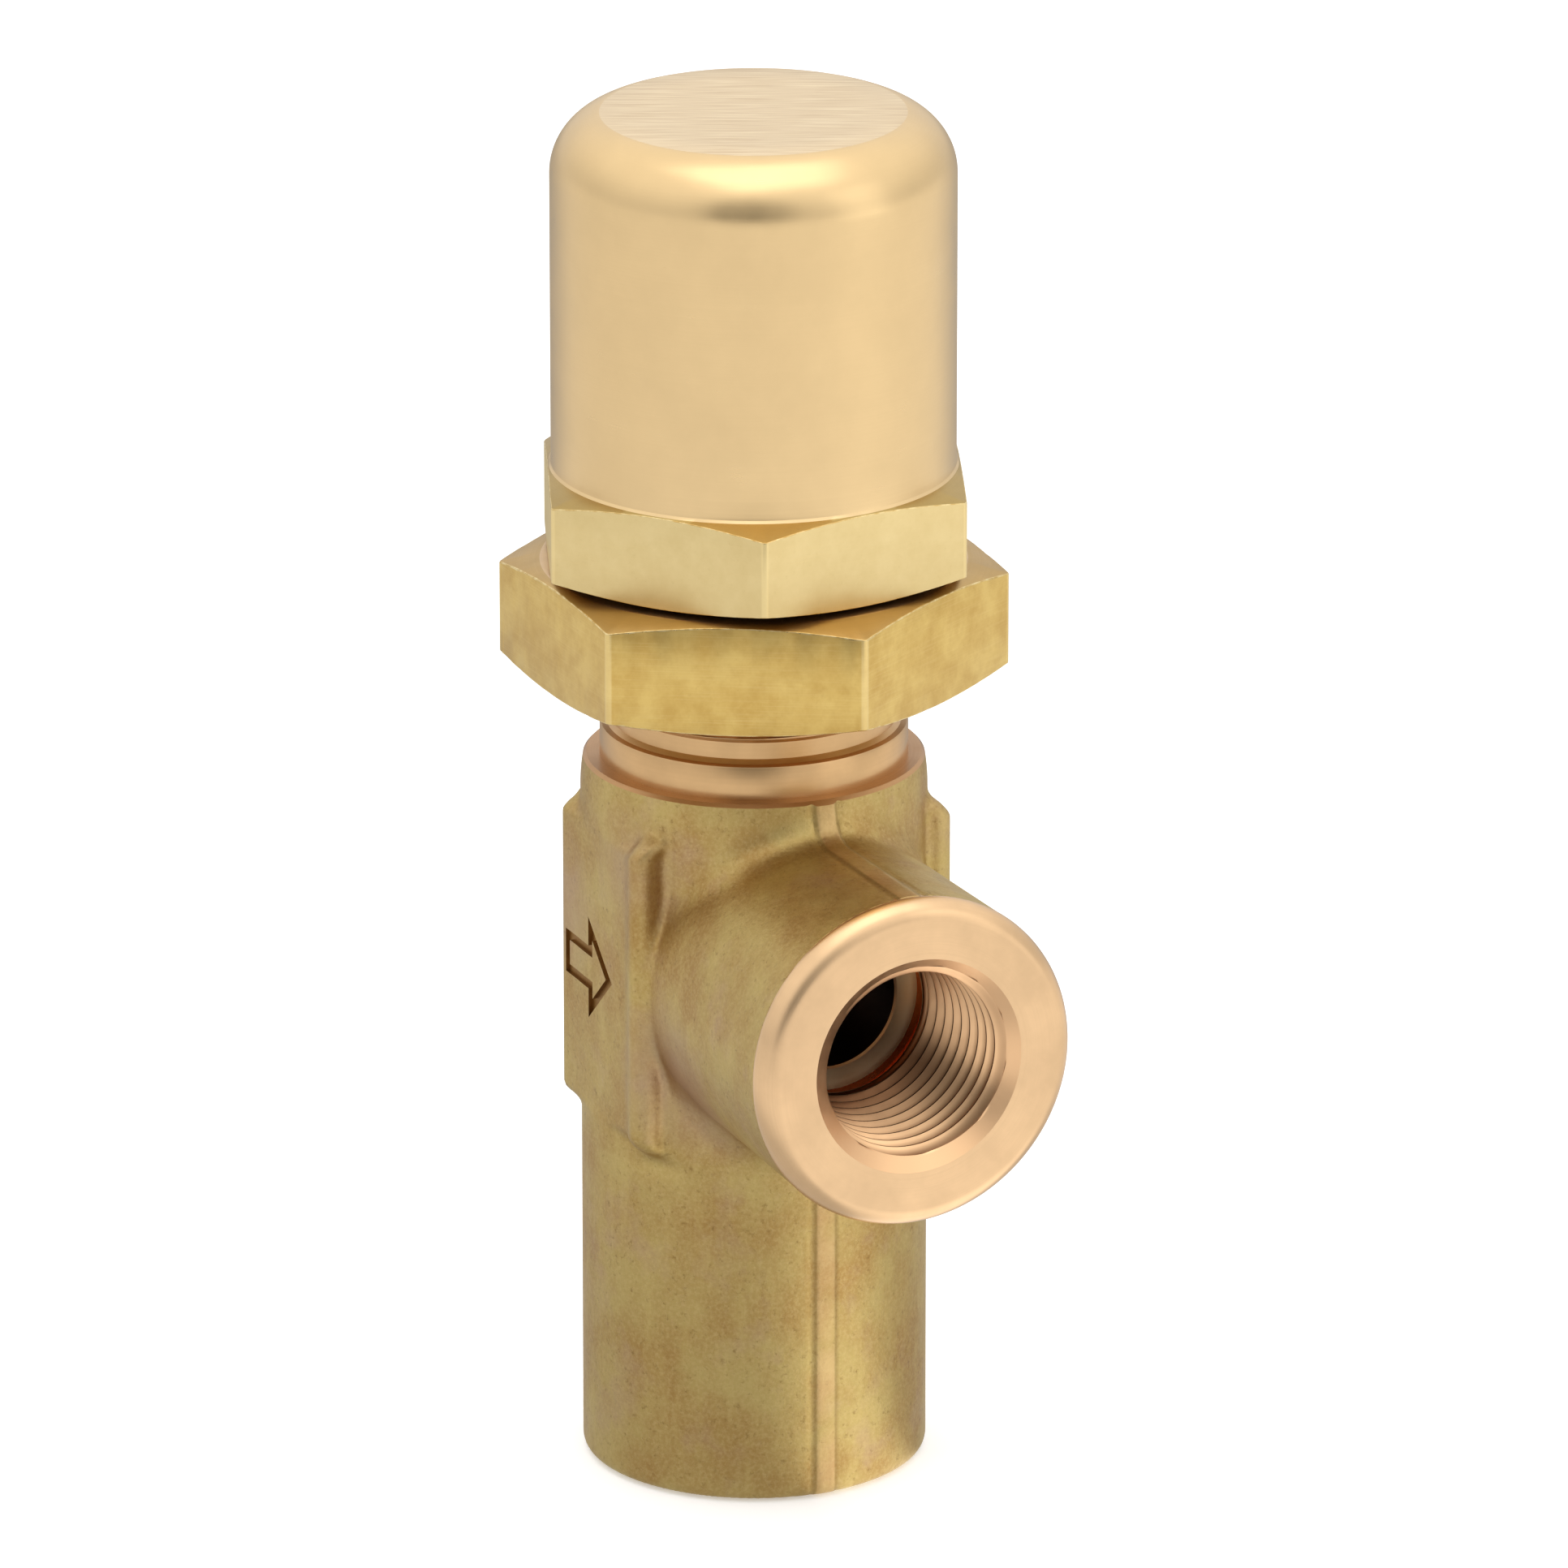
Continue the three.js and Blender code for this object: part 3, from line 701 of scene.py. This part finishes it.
# Dark brown inside the deep bores is painted shade over the bored brass
SHADED_DEEP_BORE = turned_brass("deep_bore_painted_shade", rgb(86, 58, 36), "Z", 0.2, 0.4)
OUTLET_THREAD = threaded_brass("outlet_thread", rgb(236, 192, 146), rgb(96, 52, 24), "X", 9.45, 10.15,
                               OUTLET_FACE_X - 1.4, OUTLET_FACE_X - 2.2)
NECK_THREAD = threaded_brass("neck_thread", rgb(208, 164, 116), rgb(112, 70, 36), "Z", 15.3, 14.5, 80.0, 80.8)
CAP_TURNED = turned_brass("cap_turned", rgb(230, 199, 148), "Z", 0.1, 0.29, 0.003, 0.95)
CAP_TOP = brushed_top()
CAP_HEX = milled_brass("cap_hex", rgb(229, 206, 150), rgb(223, 199, 142), 0.46, 0.08, 23.7)
NUT_MILLED = milled_brass("nut_milled", rgb(220, 188, 112), rgb(202, 166, 92), 0.34, 0.14, 25.5)
NUT_TURNED = turned_brass("nut_turned", rgb(196, 162, 102), "Z", 0.15, 0.36)
NUT_RING = turned_brass("nut_ring", rgb(218, 184, 138), "Z", 0.15, 0.3)
CAP_LEDGE = turned_brass("cap_ledge", rgb(184, 156, 96), "Z", 0.13, 0.34)
EDGE = worn_edge()
STAINLESS = steel("stainless_turned", (0.62, 0.62, 0.61, 1.0), 0.26, 0.12)
HARDENED = steel("hardened_ground", (0.66, 0.66, 0.67, 1.0), 0.14, 0.05)
SPRING_STEEL = steel("spring_wire", (0.40, 0.41, 0.42, 1.0), 0.38, 0.3)
BRONZE = turned_brass("bearing_bronze", rgb(206, 158, 104), "Z", 0.14, 0.32)
RUBBER = moulded("seal_rubber", (0.02, 0.02, 0.022, 1.0), 0.55, 0.2)
SEAL_PLASTIC = moulded("seal_plastic", (0.72, 0.70, 0.64, 1.0), 0.38, 0.4)


def piece(made, node, body):
    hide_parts(node)
    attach(made, body)


# ---------------------------------------------------------------- body

def port_cutter(name, mouth, direction, beyond, thread_finish):
    """Hollow of a taper pipe port, drawn from its mouth inwards."""
    face, thread, relief, deep_hole, ring = range(5)
    groove_depth = PORT_PITCH * 0.62

    def shape(phase, height):
        crest = PORT_BORE_R - PORT_TAPER * height
        groove = np.clip(1.15 - np.abs(phase - 0.5) * 2.6, 0, 1)
        fade = smooth_step(height, 0.3, 1.2)
        fade = fade * (1 - smooth_step(height, PORT_DEPTH - 1.2, PORT_DEPTH - 0.1))
        countersink = PORT_MOUTH_R - (PORT_MOUTH_R - PORT_BORE_R) * height / PORT_SINK
        return np.maximum(crest + groove_depth * groove * fade, countersink)

    spin = Spin(160)
    spin.path([(0, -1), (PORT_MOUTH_R + 1.2, -1), (PORT_MOUTH_R + 0.12, -0.02)], face)
    spin.thread(0.0, PORT_DEPTH, PORT_PITCH, shape, thread)
    spin.path([(10, PORT_DEPTH + 0.3), (10, PORT_DEPTH + 2.4)], relief)
    spin.path([(9.4, PORT_DEPTH + 2.6), (7.2, PORT_DEPTH + 2.6)], ring)
    spin.path([(7, PORT_DEPTH + 2.8), (7, beyond), (0, beyond)], deep_hole)
    return spin.build(name, [BOSS_FACE, thread_finish, BORED, SHADED_DEEP_BORE, PORT_RING], (mouth, direction))


def neck():
    """Machined neck with its land, relief groove, thread and plain end."""
    low, high = NECK_THREAD_LOW_Z, NECK_THREAD_HIGH_Z
    land, thread = range(2)
    groove_depth = NECK_THREAD_PITCH * 0.55

    def shape(phase, height):
        groove = np.clip(1.2 - np.abs(phase - 0.5) * 2.8, 0, 1)
        fade = smooth_step(height, low, low + 0.5) * (1 - smooth_step(height, high - 0.5, high))
        return NECK_R - groove_depth * groove * fade

    spin = Spin(192)
    spin.path([(0, 66), (NECK_R, 66), (NECK_R, SHOULDER_Z + 0.5), (NECK_R, 77.5)], land)
    spin.path([(NECK_R - 0.12, 77.75), (NECK_R - 0.7, 77.85), (NECK_GROOVE_R, 78.3),
               (NECK_GROOVE_R, 80.0), (NECK_R - 0.3, low - 0.1)], land)
    spin.thread(low, high, NECK_THREAD_PITCH, shape, thread)
    spin.path([(NECK_END_R, 108.4), (NECK_END_R, 111.7), (NECK_SEAL_R, 111.7), (NECK_SEAL_R, 113.7),
               (NECK_END_R, 113.7), (NECK_END_R, 116.4), (13.6, NECK_TOP_Z), (0, NECK_TOP_Z)], land)
    return spin.build("neck", [NECK_FACE, NECK_THREAD])


def flow_arrow():
    """Outline of a plain arrow that points at the outlet, as a prism that stands across the near flat."""
    outer = [(-7.0, -2.3), (-1.2, -2.3), (-1.2, -5.4), (4.6, 0), (-1.2, 5.4), (-1.2, 2.3), (-7.0, 2.3)]
    inner = [(-6.0, -1.3), (-0.2, -1.3), (-0.2, -3.1), (3.1, 0), (-0.2, 3.1), (-0.2, 1.3), (-6.0, 1.3)]
    depths = (-FLAT_Y + ARROW_DEPTH, -FLAT_Y - 2)
    points = [(x + ARROW_X, y, z + ARROW_Z) for y in depths for x, z in outer + inner]
    count = len(outer)
    layer = 2 * count
    faces = []
    for i in range(count):
        j = (i + 1) % count
        out_i, out_j, in_i, in_j = i, j, i + count, j + count
        faces.append((out_i, out_j, in_j, in_i))
        faces.append((out_i + layer, in_i + layer, in_j + layer, out_j + layer))
        faces.append((out_i, out_i + layer, out_j + layer, out_j))
        faces.append((in_i, in_j, in_j + layer, in_i + layer))
    return mesh_object("arrow_cut", points, faces, [GROOVE])


def shoulder_cutter():
    """What the lathe takes off the top of the barrel, with a small chamfer round the shoulder."""
    cut = Spin(128)
    cut.path([(0, SHOULDER_Z), (BARREL_R - SHOULDER_EDGE, SHOULDER_Z), (BARREL_R + 1.2, SHOULDER_Z - 1.8)])
    cut.path([(40, SHOULDER_Z - 1.8), (40, SHOULDER_Z + 6), (0, SHOULDER_Z + 6)])
    return cut.build("top_cut", [SHADED_SHOULDER_FACE])


def boss_end():
    """Machined end of the outlet boss, with a quarter round from its side to its face."""
    edge_x = OUTLET_FACE_X - BOSS_EDGE
    edge = [(BOSS_FACE_R + (BOSS_R - BOSS_FACE_R) * math.cos(a), edge_x + BOSS_EDGE * math.sin(a))
            for a in np.linspace(0, math.pi / 2, 13)]
    end = Spin(192)
    end.path([(0, 30), (BOSS_R - 0.6, 30), (BOSS_R - 0.1, edge_x - 0.3), *edge, (0, OUTLET_FACE_X)])
    return end.build("boss_end", [BOSS_FACE], ((0, 0, OUTLET_Z), (1, 0, 0)))


def bore_cutter():
    """Bore from the seat up to the neck's end, with the retaining ring's groove."""
    bore_r, bush_bore_r, groove_r = 10.8, 11.5, 12.5
    cut = Spin(96)
    cut.path([(0, 32), (9.3, 32), (9.3, 38), (bore_r, 38), (bore_r, 62), (bush_bore_r, 62),
              (bush_bore_r, 69.3), (groove_r, 69.3), (groove_r, 70.6), (bush_bore_r, 70.6),
              (bush_bore_r, NECK_TOP_Z - 0.5), (13, NECK_TOP_Z + 1), (0, NECK_TOP_Z + 1)])
    return cut.build("bore_cut", [SHADED_DEEP_BORE])


def valve_body():
    """Forged skin, then every machined face, port and bore on it."""
    low, high = (-19.5, -20, -1.2), (40, 20, SHOULDER_Z + 2.5)
    net = surface_net(forging, low, high, 0.4)
    finishes = [FORGED, SHADED_SHOULDER_FACE, NECK_FACE, NECK_THREAD, BOSS_FACE, OUTLET_THREAD, BORED,
                SHADED_DEEP_BORE, PORT_RING, GROOVE]
    body = mesh_object("valve_body_skin", *net, finishes)
    boolean(body, shoulder_cutter(), "DIFFERENCE")
    boolean(body, neck(), "UNION")
    boolean(body, boss_end(), "UNION")
    outlet_mouth = (OUTLET_FACE_X, 0, OUTLET_Z)
    outlet = port_cutter("outlet_cut", outlet_mouth, (-1, 0, 0), OUTLET_FACE_X, OUTLET_THREAD)
    boolean(body, outlet, "DIFFERENCE")
    inlet = port_cutter("inlet_cut", (0, 0, 0), (0, 0, 1), 34, NECK_FACE)
    boolean(body, inlet, "DIFFERENCE")
    boolean(body, bore_cutter(), "DIFFERENCE")
    boolean(body, flow_arrow(), "DIFFERENCE")
    merge_close(body.data)
    finish_shading(body.data, 32)
    piece(body, "valve_body", "valve")


# ---------------------------------------------------------------- lock nut and cap

# Places of the finishes on the two hexagon pieces
TURNED, RIM, MILLED, UPPER, TOP = range(5)


def hexagon_radius(angles, across_flats, turn, corner=0.35):
    """Distance to a hexagon's outline, with slightly worn corners."""
    half = across_flats / 2
    reach = np.full_like(angles, half * 2 / math.sqrt(3) - corner * 0.3)
    for side in range(6):
        off = angles - turn - math.radians(30 + 60 * side)
        facing = np.cos(off)
        flat = np.where(facing > 0.3, half / np.maximum(facing, 0.3), 99)
        reach = np.minimum(reach, flat)
    return reach


def hexagon_angles(turn, spread=3.0):
    """Columns every 1.5 degrees, with more of them close to the corners."""
    even = np.arange(0, 360, 1.5)
    offsets = np.arange(-spread, spread + 0.01, 0.25)
    close = [math.degrees(turn) + 60 * corner + offset for corner in range(6) for offset in offsets]
    return np.radians(np.unique(np.round(np.concatenate([even, np.array(close) % 360]), 3)))


def worn(angles, seed, size):
    """Small nicks along an edge."""
    dice = np.random.default_rng(seed)
    total = np.zeros_like(angles)
    for _ in range(70):
        centre, width = dice.uniform(0, TAU), dice.uniform(0.004, 0.03)
        away = np.abs((angles - centre + math.pi) % TAU - math.pi)
        total += dice.uniform(0.2, 1.0) * np.exp(-((away / width) ** 2))
    return size * np.minimum(total, 1.2)


def hexagon_rings(spin, outline, face_r, low, high, edge, nicks, seed):
    """Foot chamfer, flats and top chamfer, with a worn rim along the flats' curved ends."""
    slope = math.tan(HEX_CHAMFER)
    rise = np.maximum(outline - face_r, 0) * slope
    wear_low, wear_high = worn(spin.angles, seed, nicks), worn(spin.angles, seed + 1, nicks)
    spin.ring(face_r - 0.2, low, TURNED)
    spin.ring(np.minimum(face_r + 0.1, outline), low + 0.03, TURNED)
    spin.ring(outline - edge - wear_low, low + np.maximum(rise - edge * slope, 0.04), RIM)
    spin.ring(outline - edge * 0.3 - wear_low * 0.7, low + rise + edge * 0.2, RIM)
    spin.ring(outline, low + rise + edge + wear_low, MILLED)
    spin.ring(outline, high - rise - edge - wear_high, RIM)
    spin.ring(outline - edge * 0.3 - wear_high * 0.7, high - rise - edge * 0.2, RIM)
    spin.ring(outline - edge - wear_high, high - np.maximum(rise - edge * slope, 0.04), TURNED)


def lock_nut():
    """Hexagon nut with a turned ring round its thread on the upper face."""
    spin = Spin(angles=hexagon_angles(NUT_TURN))
    outline = hexagon_radius(spin.angles, NUT_AF, NUT_TURN)
    low, high, face_r = nut_low[2], nut_high[2], FACE_SHARE * NUT_AF / 2
    mouth_r = THREAD_BORE_R + THREAD_MOUTH
    spin.path([(THREAD_BORE_R, low + THREAD_MOUTH), (mouth_r, low)], TURNED)
    hexagon_rings(spin, outline, face_r, low, high, edge=0.1, nicks=0.07, seed=5)
    spin.path([(face_r + 0.1, high - 0.03), (face_r - 0.2, high), (mouth_r, high)], UPPER)
    spin.path([(THREAD_BORE_R, high - THREAD_MOUTH)], TURNED)
    nut = spin.build("lock_nut_milled", [NUT_TURNED, EDGE, NUT_MILLED, NUT_RING], sharp=28)
    piece(nut, "lock_nut", "nut")


def cap_hexagon(spin):
    """The hexagon's outline, with the corner at the rear left blunt."""
    outline = hexagon_radius(spin.angles, CAP_AF, CAP_TURN)
    from_corner = np.abs((spin.angles - CAP_TURN + TAU / 3 + math.pi) % TAU - math.pi)
    blunt = from_corner < math.radians(20)
    return np.where(blunt, np.minimum(outline, BLUNT_CORNER_R), outline)


def adjusting_cap():
    """Hexagon skirt, turned cylinder and domed crown, hollow from below."""
    spin = Spin(angles=hexagon_angles(CAP_TURN))
    low, top, face_r = cap_low[2], cap_high[2], FACE_SHARE * CAP_AF / 2
    spin.path([(THREAD_BORE_R, low + THREAD_MOUTH), (THREAD_BORE_R + THREAD_MOUTH, low)], TURNED)
    hexagon_rings(spin, cap_hexagon(spin), face_r, low, CAP_HEX_TOP_Z, edge=0.08, nicks=0.03, seed=9)

    # Small fillet over the hexagon, cylinder and crown
    spin.path([(CAP_R + 0.25, CAP_HEX_TOP_Z - 0.12), (CAP_R + 0.05, CAP_HEX_TOP_Z + 0.15)], UPPER)
    crown_z = top - CROWN_HEIGHT
    heights = [CAP_HEX_TOP_Z + 0.5, *np.linspace(CAP_HEX_TOP_Z + 4, crown_z, 8)]
    spin.path([(CAP_R, z) for z in heights], UPPER)
    end = math.asin(CROWN_HEIGHT / CROWN_ARC_R)
    centre = CAP_R - CROWN_ARC_R
    crown = [(centre + CROWN_ARC_R * math.cos(a), crown_z + CROWN_ARC_R * math.sin(a))
             for a in np.linspace(0, end, 20)[1:]]
    spin.path(crown[:-1], UPPER)
    flat_r = crown[-1][0]
    spin.path([(flat_r * share, top) for share in (1, 0.75, 0.5, 0.25)], TOP)

    # Hollow: pocket for the thrust disc, spring chamber, seal land and thread
    pocket_r, chamber_r, land_r = 6.3, 11.3, 14.45
    spin.path([(0, top), (0, top - 7.85), (pocket_r, top - 7.85), (pocket_r, top - 9.75),
               (chamber_r, top - 9.75), (chamber_r, 120), (land_r, 118), (land_r, 109),
               (THREAD_BORE_R, 107.6)], TURNED)
    cap = spin.build("adjusting_cap_turned", [CAP_LEDGE, EDGE, CAP_HEX, CAP_TURNED, CAP_TOP], sharp=28)
    piece(cap, "adjusting_cap", "cap")


# ---------------------------------------------------------------- trim inside

def arc(centre_r, centre_z, radius, start, end, steps):
    return [(centre_r + radius * math.cos(a), centre_z + radius * math.sin(a))
            for a in np.radians(np.linspace(start, end, steps + 1))]


def turned_piece(name, node, body, finish, outline, corner=0.15):
    """Solid of revolution in one finish, with its corners broken unless corner is 0."""
    made = Spin(96).path(rounded(outline, corner) if corner else outline).build(name, [finish], sharp=40)
    piece(made, node, body)


def ring_seal(name, node, inner_r, outer_r, height):
    """Round rubber ring in the body, centred at a height."""
    section = (outer_r - inner_r) / 2
    outline = arc(inner_r + section, height, section, 0, 345, 23)
    turned_piece(name, node, "valve", RUBBER, outline, 0)


def seat_and_poppet():
    turned_piece("seat_ring_turned", "seat_ring", "valve", STAINLESS, [
        (7, 32.3), (9, 32.3), (9, 34), (7.9, 34), (7.9, 36), (9, 36), (9, 38.3), (10.3, 38.3), (10.3, 40.3),
        (8.6, 40.3), (7.6, SEAT_LIP_Z), (6.9, SEAT_LIP_Z), (SEAT_R, 41.1), (SEAT_R, 33)])
    turned_piece("poppet_turned", "poppet", "poppet", STAINLESS, [
        (0, 52), (2.2, 52), (2.2, 44.15), (8.35, 44.15), (8.35, 42.2), (9.4, 42.2), (9.4, 46), (8.4, 47),
        (5, 47.8), (STEM_R, 49), *arc(0, 73.7, STEM_R, 0, 90, 12)[:-1], (0, 77.7)], 0.1)
    turned_piece("poppet_seal_disc", "poppet_seal", "poppet", SEAL_PLASTIC, [
        (2.4, 41.55), (8.25, 41.55), (8.25, 44.05), (2.4, 44.05)])
    turned_piece("seal_retainer_washer", "seal_retainer", "poppet", STAINLESS, [
        (2.2, 40.4), (5.3, 40.4), (5.7, 40.8), (5.7, 41.5), (2.2, 41.5)], 0.1)


def socket_screw():
    """Cap screw from below, with a hexagon socket in its head."""
    socket_af, socket_z, foot_z, head_r, shank_r = 3.03, 38.6, 36.4, 3.5, 2
    spin = Spin(96)
    socket = hexagon_radius(spin.angles, socket_af, 0.0, 0.1)
    spin.path([(0, socket_z)]).ring(socket, socket_z).ring(socket, 36.6).ring(socket + 0.2, foot_z)
    spin.path([(3.1, foot_z), (3.4, 36.5), (head_r, 36.8), (head_r, 40.2), (3.35, 40.35)])
    spin.path([(shank_r, 40.35), (shank_r, 50.6), (1.6, 51), (0, 51)])
    piece(spin.build("retainer_screw_socket", [STAINLESS], sharp=30), "retainer_screw", "poppet")


def guide_and_seals():
    turned_piece("guide_bush_turned", "guide_bush", "valve", BRONZE, [
        (BUSH_BORE_R, 62.3), (BUSH_R, 62.3), (BUSH_R, 64.4), (10, 64.4), (10, 66.6), (BUSH_R, 66.6),
        (BUSH_R, 69), (BUSH_BORE_R, 69), (BUSH_BORE_R, 67.3), (6, 67.3), (6, 63.9), (BUSH_BORE_R, 63.9)])
    turned_piece("stem_backup_washer", "stem_backup_ring", "valve", SEAL_PLASTIC, [
        (4.06, 66.1), (5.9, 66.1), (5.9, 67.2), (4.06, 67.2)], 0.08)
    ring_seal("seat_oring_moulded", "seat_ring_oring", 7.95, 9.15, 35)
    ring_seal("bush_oring_moulded", "guide_bush_oring", 10.05, 11.4, 65.5)
    ring_seal("stem_oring_moulded", "stem_oring", 4.05, 5.9, 65)
    ring_seal("neck_oring_moulded", "neck_oring", 13.1, 14.4, 112.7)
    clip = frame["nodes"]["retaining_ring"]
    clip.data.materials.clear()
    clip.data.materials.append(SPRING_STEEL)


def spring_seats():
    turned_piece("lower_seat_turned", "lower_spring_seat", "poppet", STAINLESS, [
        (0, 78), (4.3, 78), (4.3, 72.6), (SPRING_SEAT_R, 72.6), (SPRING_SEAT_R, 75.4),
        (SPRING_GUIDE_R, 75.4), (SPRING_GUIDE_R, 79.7), (5.8, 80.5), (0, 80.5)])
    turned_piece("upper_seat_turned", "upper_spring_seat", "upper_seat", STAINLESS, [
        (0, 117), (5.8, 117), (SPRING_GUIDE_R, 117.8), (SPRING_GUIDE_R, 121.3), (SPRING_SEAT_R, 121.3),
        (SPRING_SEAT_R, 124.3), (7.4, 124.3), (6.6, 127.4), (3.8, 127.4), (3.8, 123.4), (0, 123.4)])
    ball = [(0, BALL_Z - BALL_R), *arc(0, BALL_Z, BALL_R, -90, 90, 32)[1:-1], (0, BALL_Z + BALL_R)]
    turned_piece("thrust_ball_ground", "thrust_ball", "upper_seat", HARDENED, ball, 0)
    turned_piece("thrust_disc_ground", "thrust_disc", "cap", HARDENED, [
        (0, 131), (6, 131), (6, 133), (0, 133)])


def spring_height(turns):
    """Height of the wire's centre after so many turns, with a close turn at each end."""
    low, high = spring_low[2] + WIRE_R, spring_high[2] - WIRE_R
    close = 2 * WIRE_R + 0.1
    open_pitch = (high - low - 2 * close) / SPRING_MIDDLE_TURNS
    ends = np.minimum(turns, 1) + np.maximum(turns - SPRING_MIDDLE_TURNS - 1, 0)
    return low + close * ends + open_pitch * np.clip(turns - 1, 0, SPRING_MIDDLE_TURNS)


def spring_part(name, first_turn, last_turn, sides=16, steps_per_turn=48):
    """Round wire from one turn to another, ground flat at the spring's own ends."""
    turns = np.linspace(first_turn, last_turn, round((last_turn - first_turn) * steps_per_turn) + 1)
    points = []
    for turn in turns:
        angle = TAU * turn
        outward = np.array([math.cos(angle), math.sin(angle), 0])
        centre = SPRING_MEAN_R * outward + (0, 0, spring_height(turn))
        for side in np.arange(sides) * TAU / sides:
            points.append(centre + WIRE_R * (math.cos(side) * outward + math.sin(side) * np.array([0, 0, 1])))
    points = np.array(points)
    points[:, 2] = np.clip(points[:, 2], spring_low[2] + 0.3, spring_high[2] - 0.3)
    faces = []
    for row in range(len(turns) - 1):
        for side in range(sides):
            after = (side + 1) % sides
            here, ahead = row * sides, (row + 1) * sides
            faces.append((here + side, here + after, ahead + after, ahead + side))
    faces.append(tuple(reversed(range(sides))))
    faces.append(tuple(range((len(turns) - 1) * sides, len(turns) * sides)))
    return mesh_object(name, points, faces, [SPRING_STEEL])


def frame_joint(name):
    return next(joint for joint in frame["joints"] if joint["name"] == name)


def main_spring():
    """Two halves that meet at mid length.

    The lower one goes with the valve's body; the upper one stays where it is built."""
    turns = SPRING_MIDDLE_TURNS + 2
    middle = float(spring_height(turns / 2)) * MM
    lift = frame_joint("poppet_lift")["range_m"][1]
    lower = spring_part("main_spring_lower", 0, turns / 2)
    piece(lower, "main_spring", "valve")
    keep = 1 - lift / (middle - spring_low[2] * MM)
    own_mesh(lower)
    upper = spring_part("main_spring_upper", turns / 2, turns)
    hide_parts("main_spring")
    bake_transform(upper)


# ---------------------------------------------------------------- camera, floor and light

LIGHT_AIM_Z = 0.07


def camera():
    """Long lens, a little above the valve and to the near side of its outlet, aimed just off its middle."""
    azimuth, elevation, distance = math.radians(-24.305), math.radians(19.167), 1449.5
    back = Vector((math.cos(elevation) * math.cos(azimuth), math.cos(elevation) * math.sin(azimuth),
                   math.sin(elevation)))
    right = Vector((-math.sin(azimuth), math.cos(azimuth), 0))
    up = back.cross(right)
    middle = Vector((AXIS_X, 0, 70.41))
    place = middle + back * distance
    aim = middle + 3.026 * right + 0.261 * up
    made = bpy.data.objects.new("camera", bpy.data.cameras.new("camera"))
    made.data.lens = 330.9
    made.data.sensor_width = 36
    made.data.clip_end = 10
    made.location = place * MM
    made.rotation_euler = (aim - place).normalized().to_track_quat("-Z", "Y").to_euler()
    bpy.context.scene.collection.objects.link(made)
    bpy.context.scene.camera = made


def ground(name, size, height, material):
    """Level square that reaches size metres each way."""
    mesh = bpy.data.meshes.new(name)
    corners = [(-size, -size, height), (size, -size, height), (size, size, height), (-size, size, height)]
    mesh.from_pydata(corners, [], [(0, 1, 2, 3)])
    mesh.materials.append(material)
    made = bpy.data.objects.new(name, mesh)
    bpy.context.scene.collection.objects.link(made)
    return made


def floor():
    """White floor that glows a little, just under the foot."""
    f = Finish("floor_paint")
    white, glow = (0.9, 0.9, 0.9, 1.0), (0.3, 0.3, 0.3, 1.0)
    ground("floor", 3.0, -0.0002, f.shade(color=white, roughness=0.9, emission=glow, emission_strength=1.0))


def card():
    """Card on the floor that only the metal reflects: dim near the foot, with a bright sector on one side."""
    f = Finish("card_paint")
    radius, _, across = f.from_axis()
    side = f.axis(1)
    bright, rear = math.radians(24), math.radians(155)
    facing = (across * math.cos(bright) + side * math.sin(bright)) / radius
    behind = (across * math.cos(rear) + side * math.sin(rear)) / radius
    near = facing.ramp(0.86, 0.97) * 0.95 + 0.62
    far = facing * 0.1 + 0.96 - behind.ramp(0.55, 1.0) * 0.6
    share = radius.ramp(80, 125)
    level = (near * (1 - share) + far * share) / 2
    glow = f.blend(level.clamped(), (0, 0, 0, 1), (2, 2, 2, 1))
    paint = f.shade(color=(0, 0, 0, 1), roughness=1.0, emission=glow, emission_strength=1.0)
    made = ground("card", 2.9, -0.0001, paint)
    made.visible_camera = False
    made.visible_diffuse = False
    made.visible_shadow = False


def area_light(name, azimuth, elevation, distance, width, height, power):
    """Soft box that faces the valve's middle, sized in metres and powered in watts."""
    light = bpy.data.lights.new(name, "AREA")
    light.shape = "RECTANGLE"
    light.size = width
    light.size_y = height
    light.energy = power
    made = bpy.data.objects.new(name, light)
    a, e = math.radians(azimuth), math.radians(elevation)
    place = Vector((math.cos(e) * math.cos(a), math.cos(e) * math.sin(a), math.sin(e))) * distance
    made.location = place + Vector((0, 0, LIGHT_AIM_Z))
    made.rotation_euler = (-place).to_track_quat("-Z", "Y").to_euler()
    made.visible_camera = False
    bpy.context.scene.collection.objects.link(made)


def lights():
    """Surround, brighter overhead and dim at the front opening, with soft boxes at the right and above."""
    f = Surround("studio")
    overhead = f.toward(0, 90).ramp(0.1, 0.65)
    opening = f.toward(-27, 16).ramp(0.87, 0.96)
    bpy.context.scene.world = f.glow(0.8 + 0.38 * overhead - 0.62 * opening)
    area_light("right_box", 40, 12, 0.8, 0.4, 0.9, 0.5)
    area_light("top_box", 0, 82, 0.8, 0.7, 0.7, 1.3)


valve_body()
lock_nut()
adjusting_cap()
seat_and_poppet()
socket_screw()
guide_and_seals()
spring_seats()
main_spring()
camera()
floor()
card()
lights()
bpy.context.scene.view_settings.view_transform = "Standard"
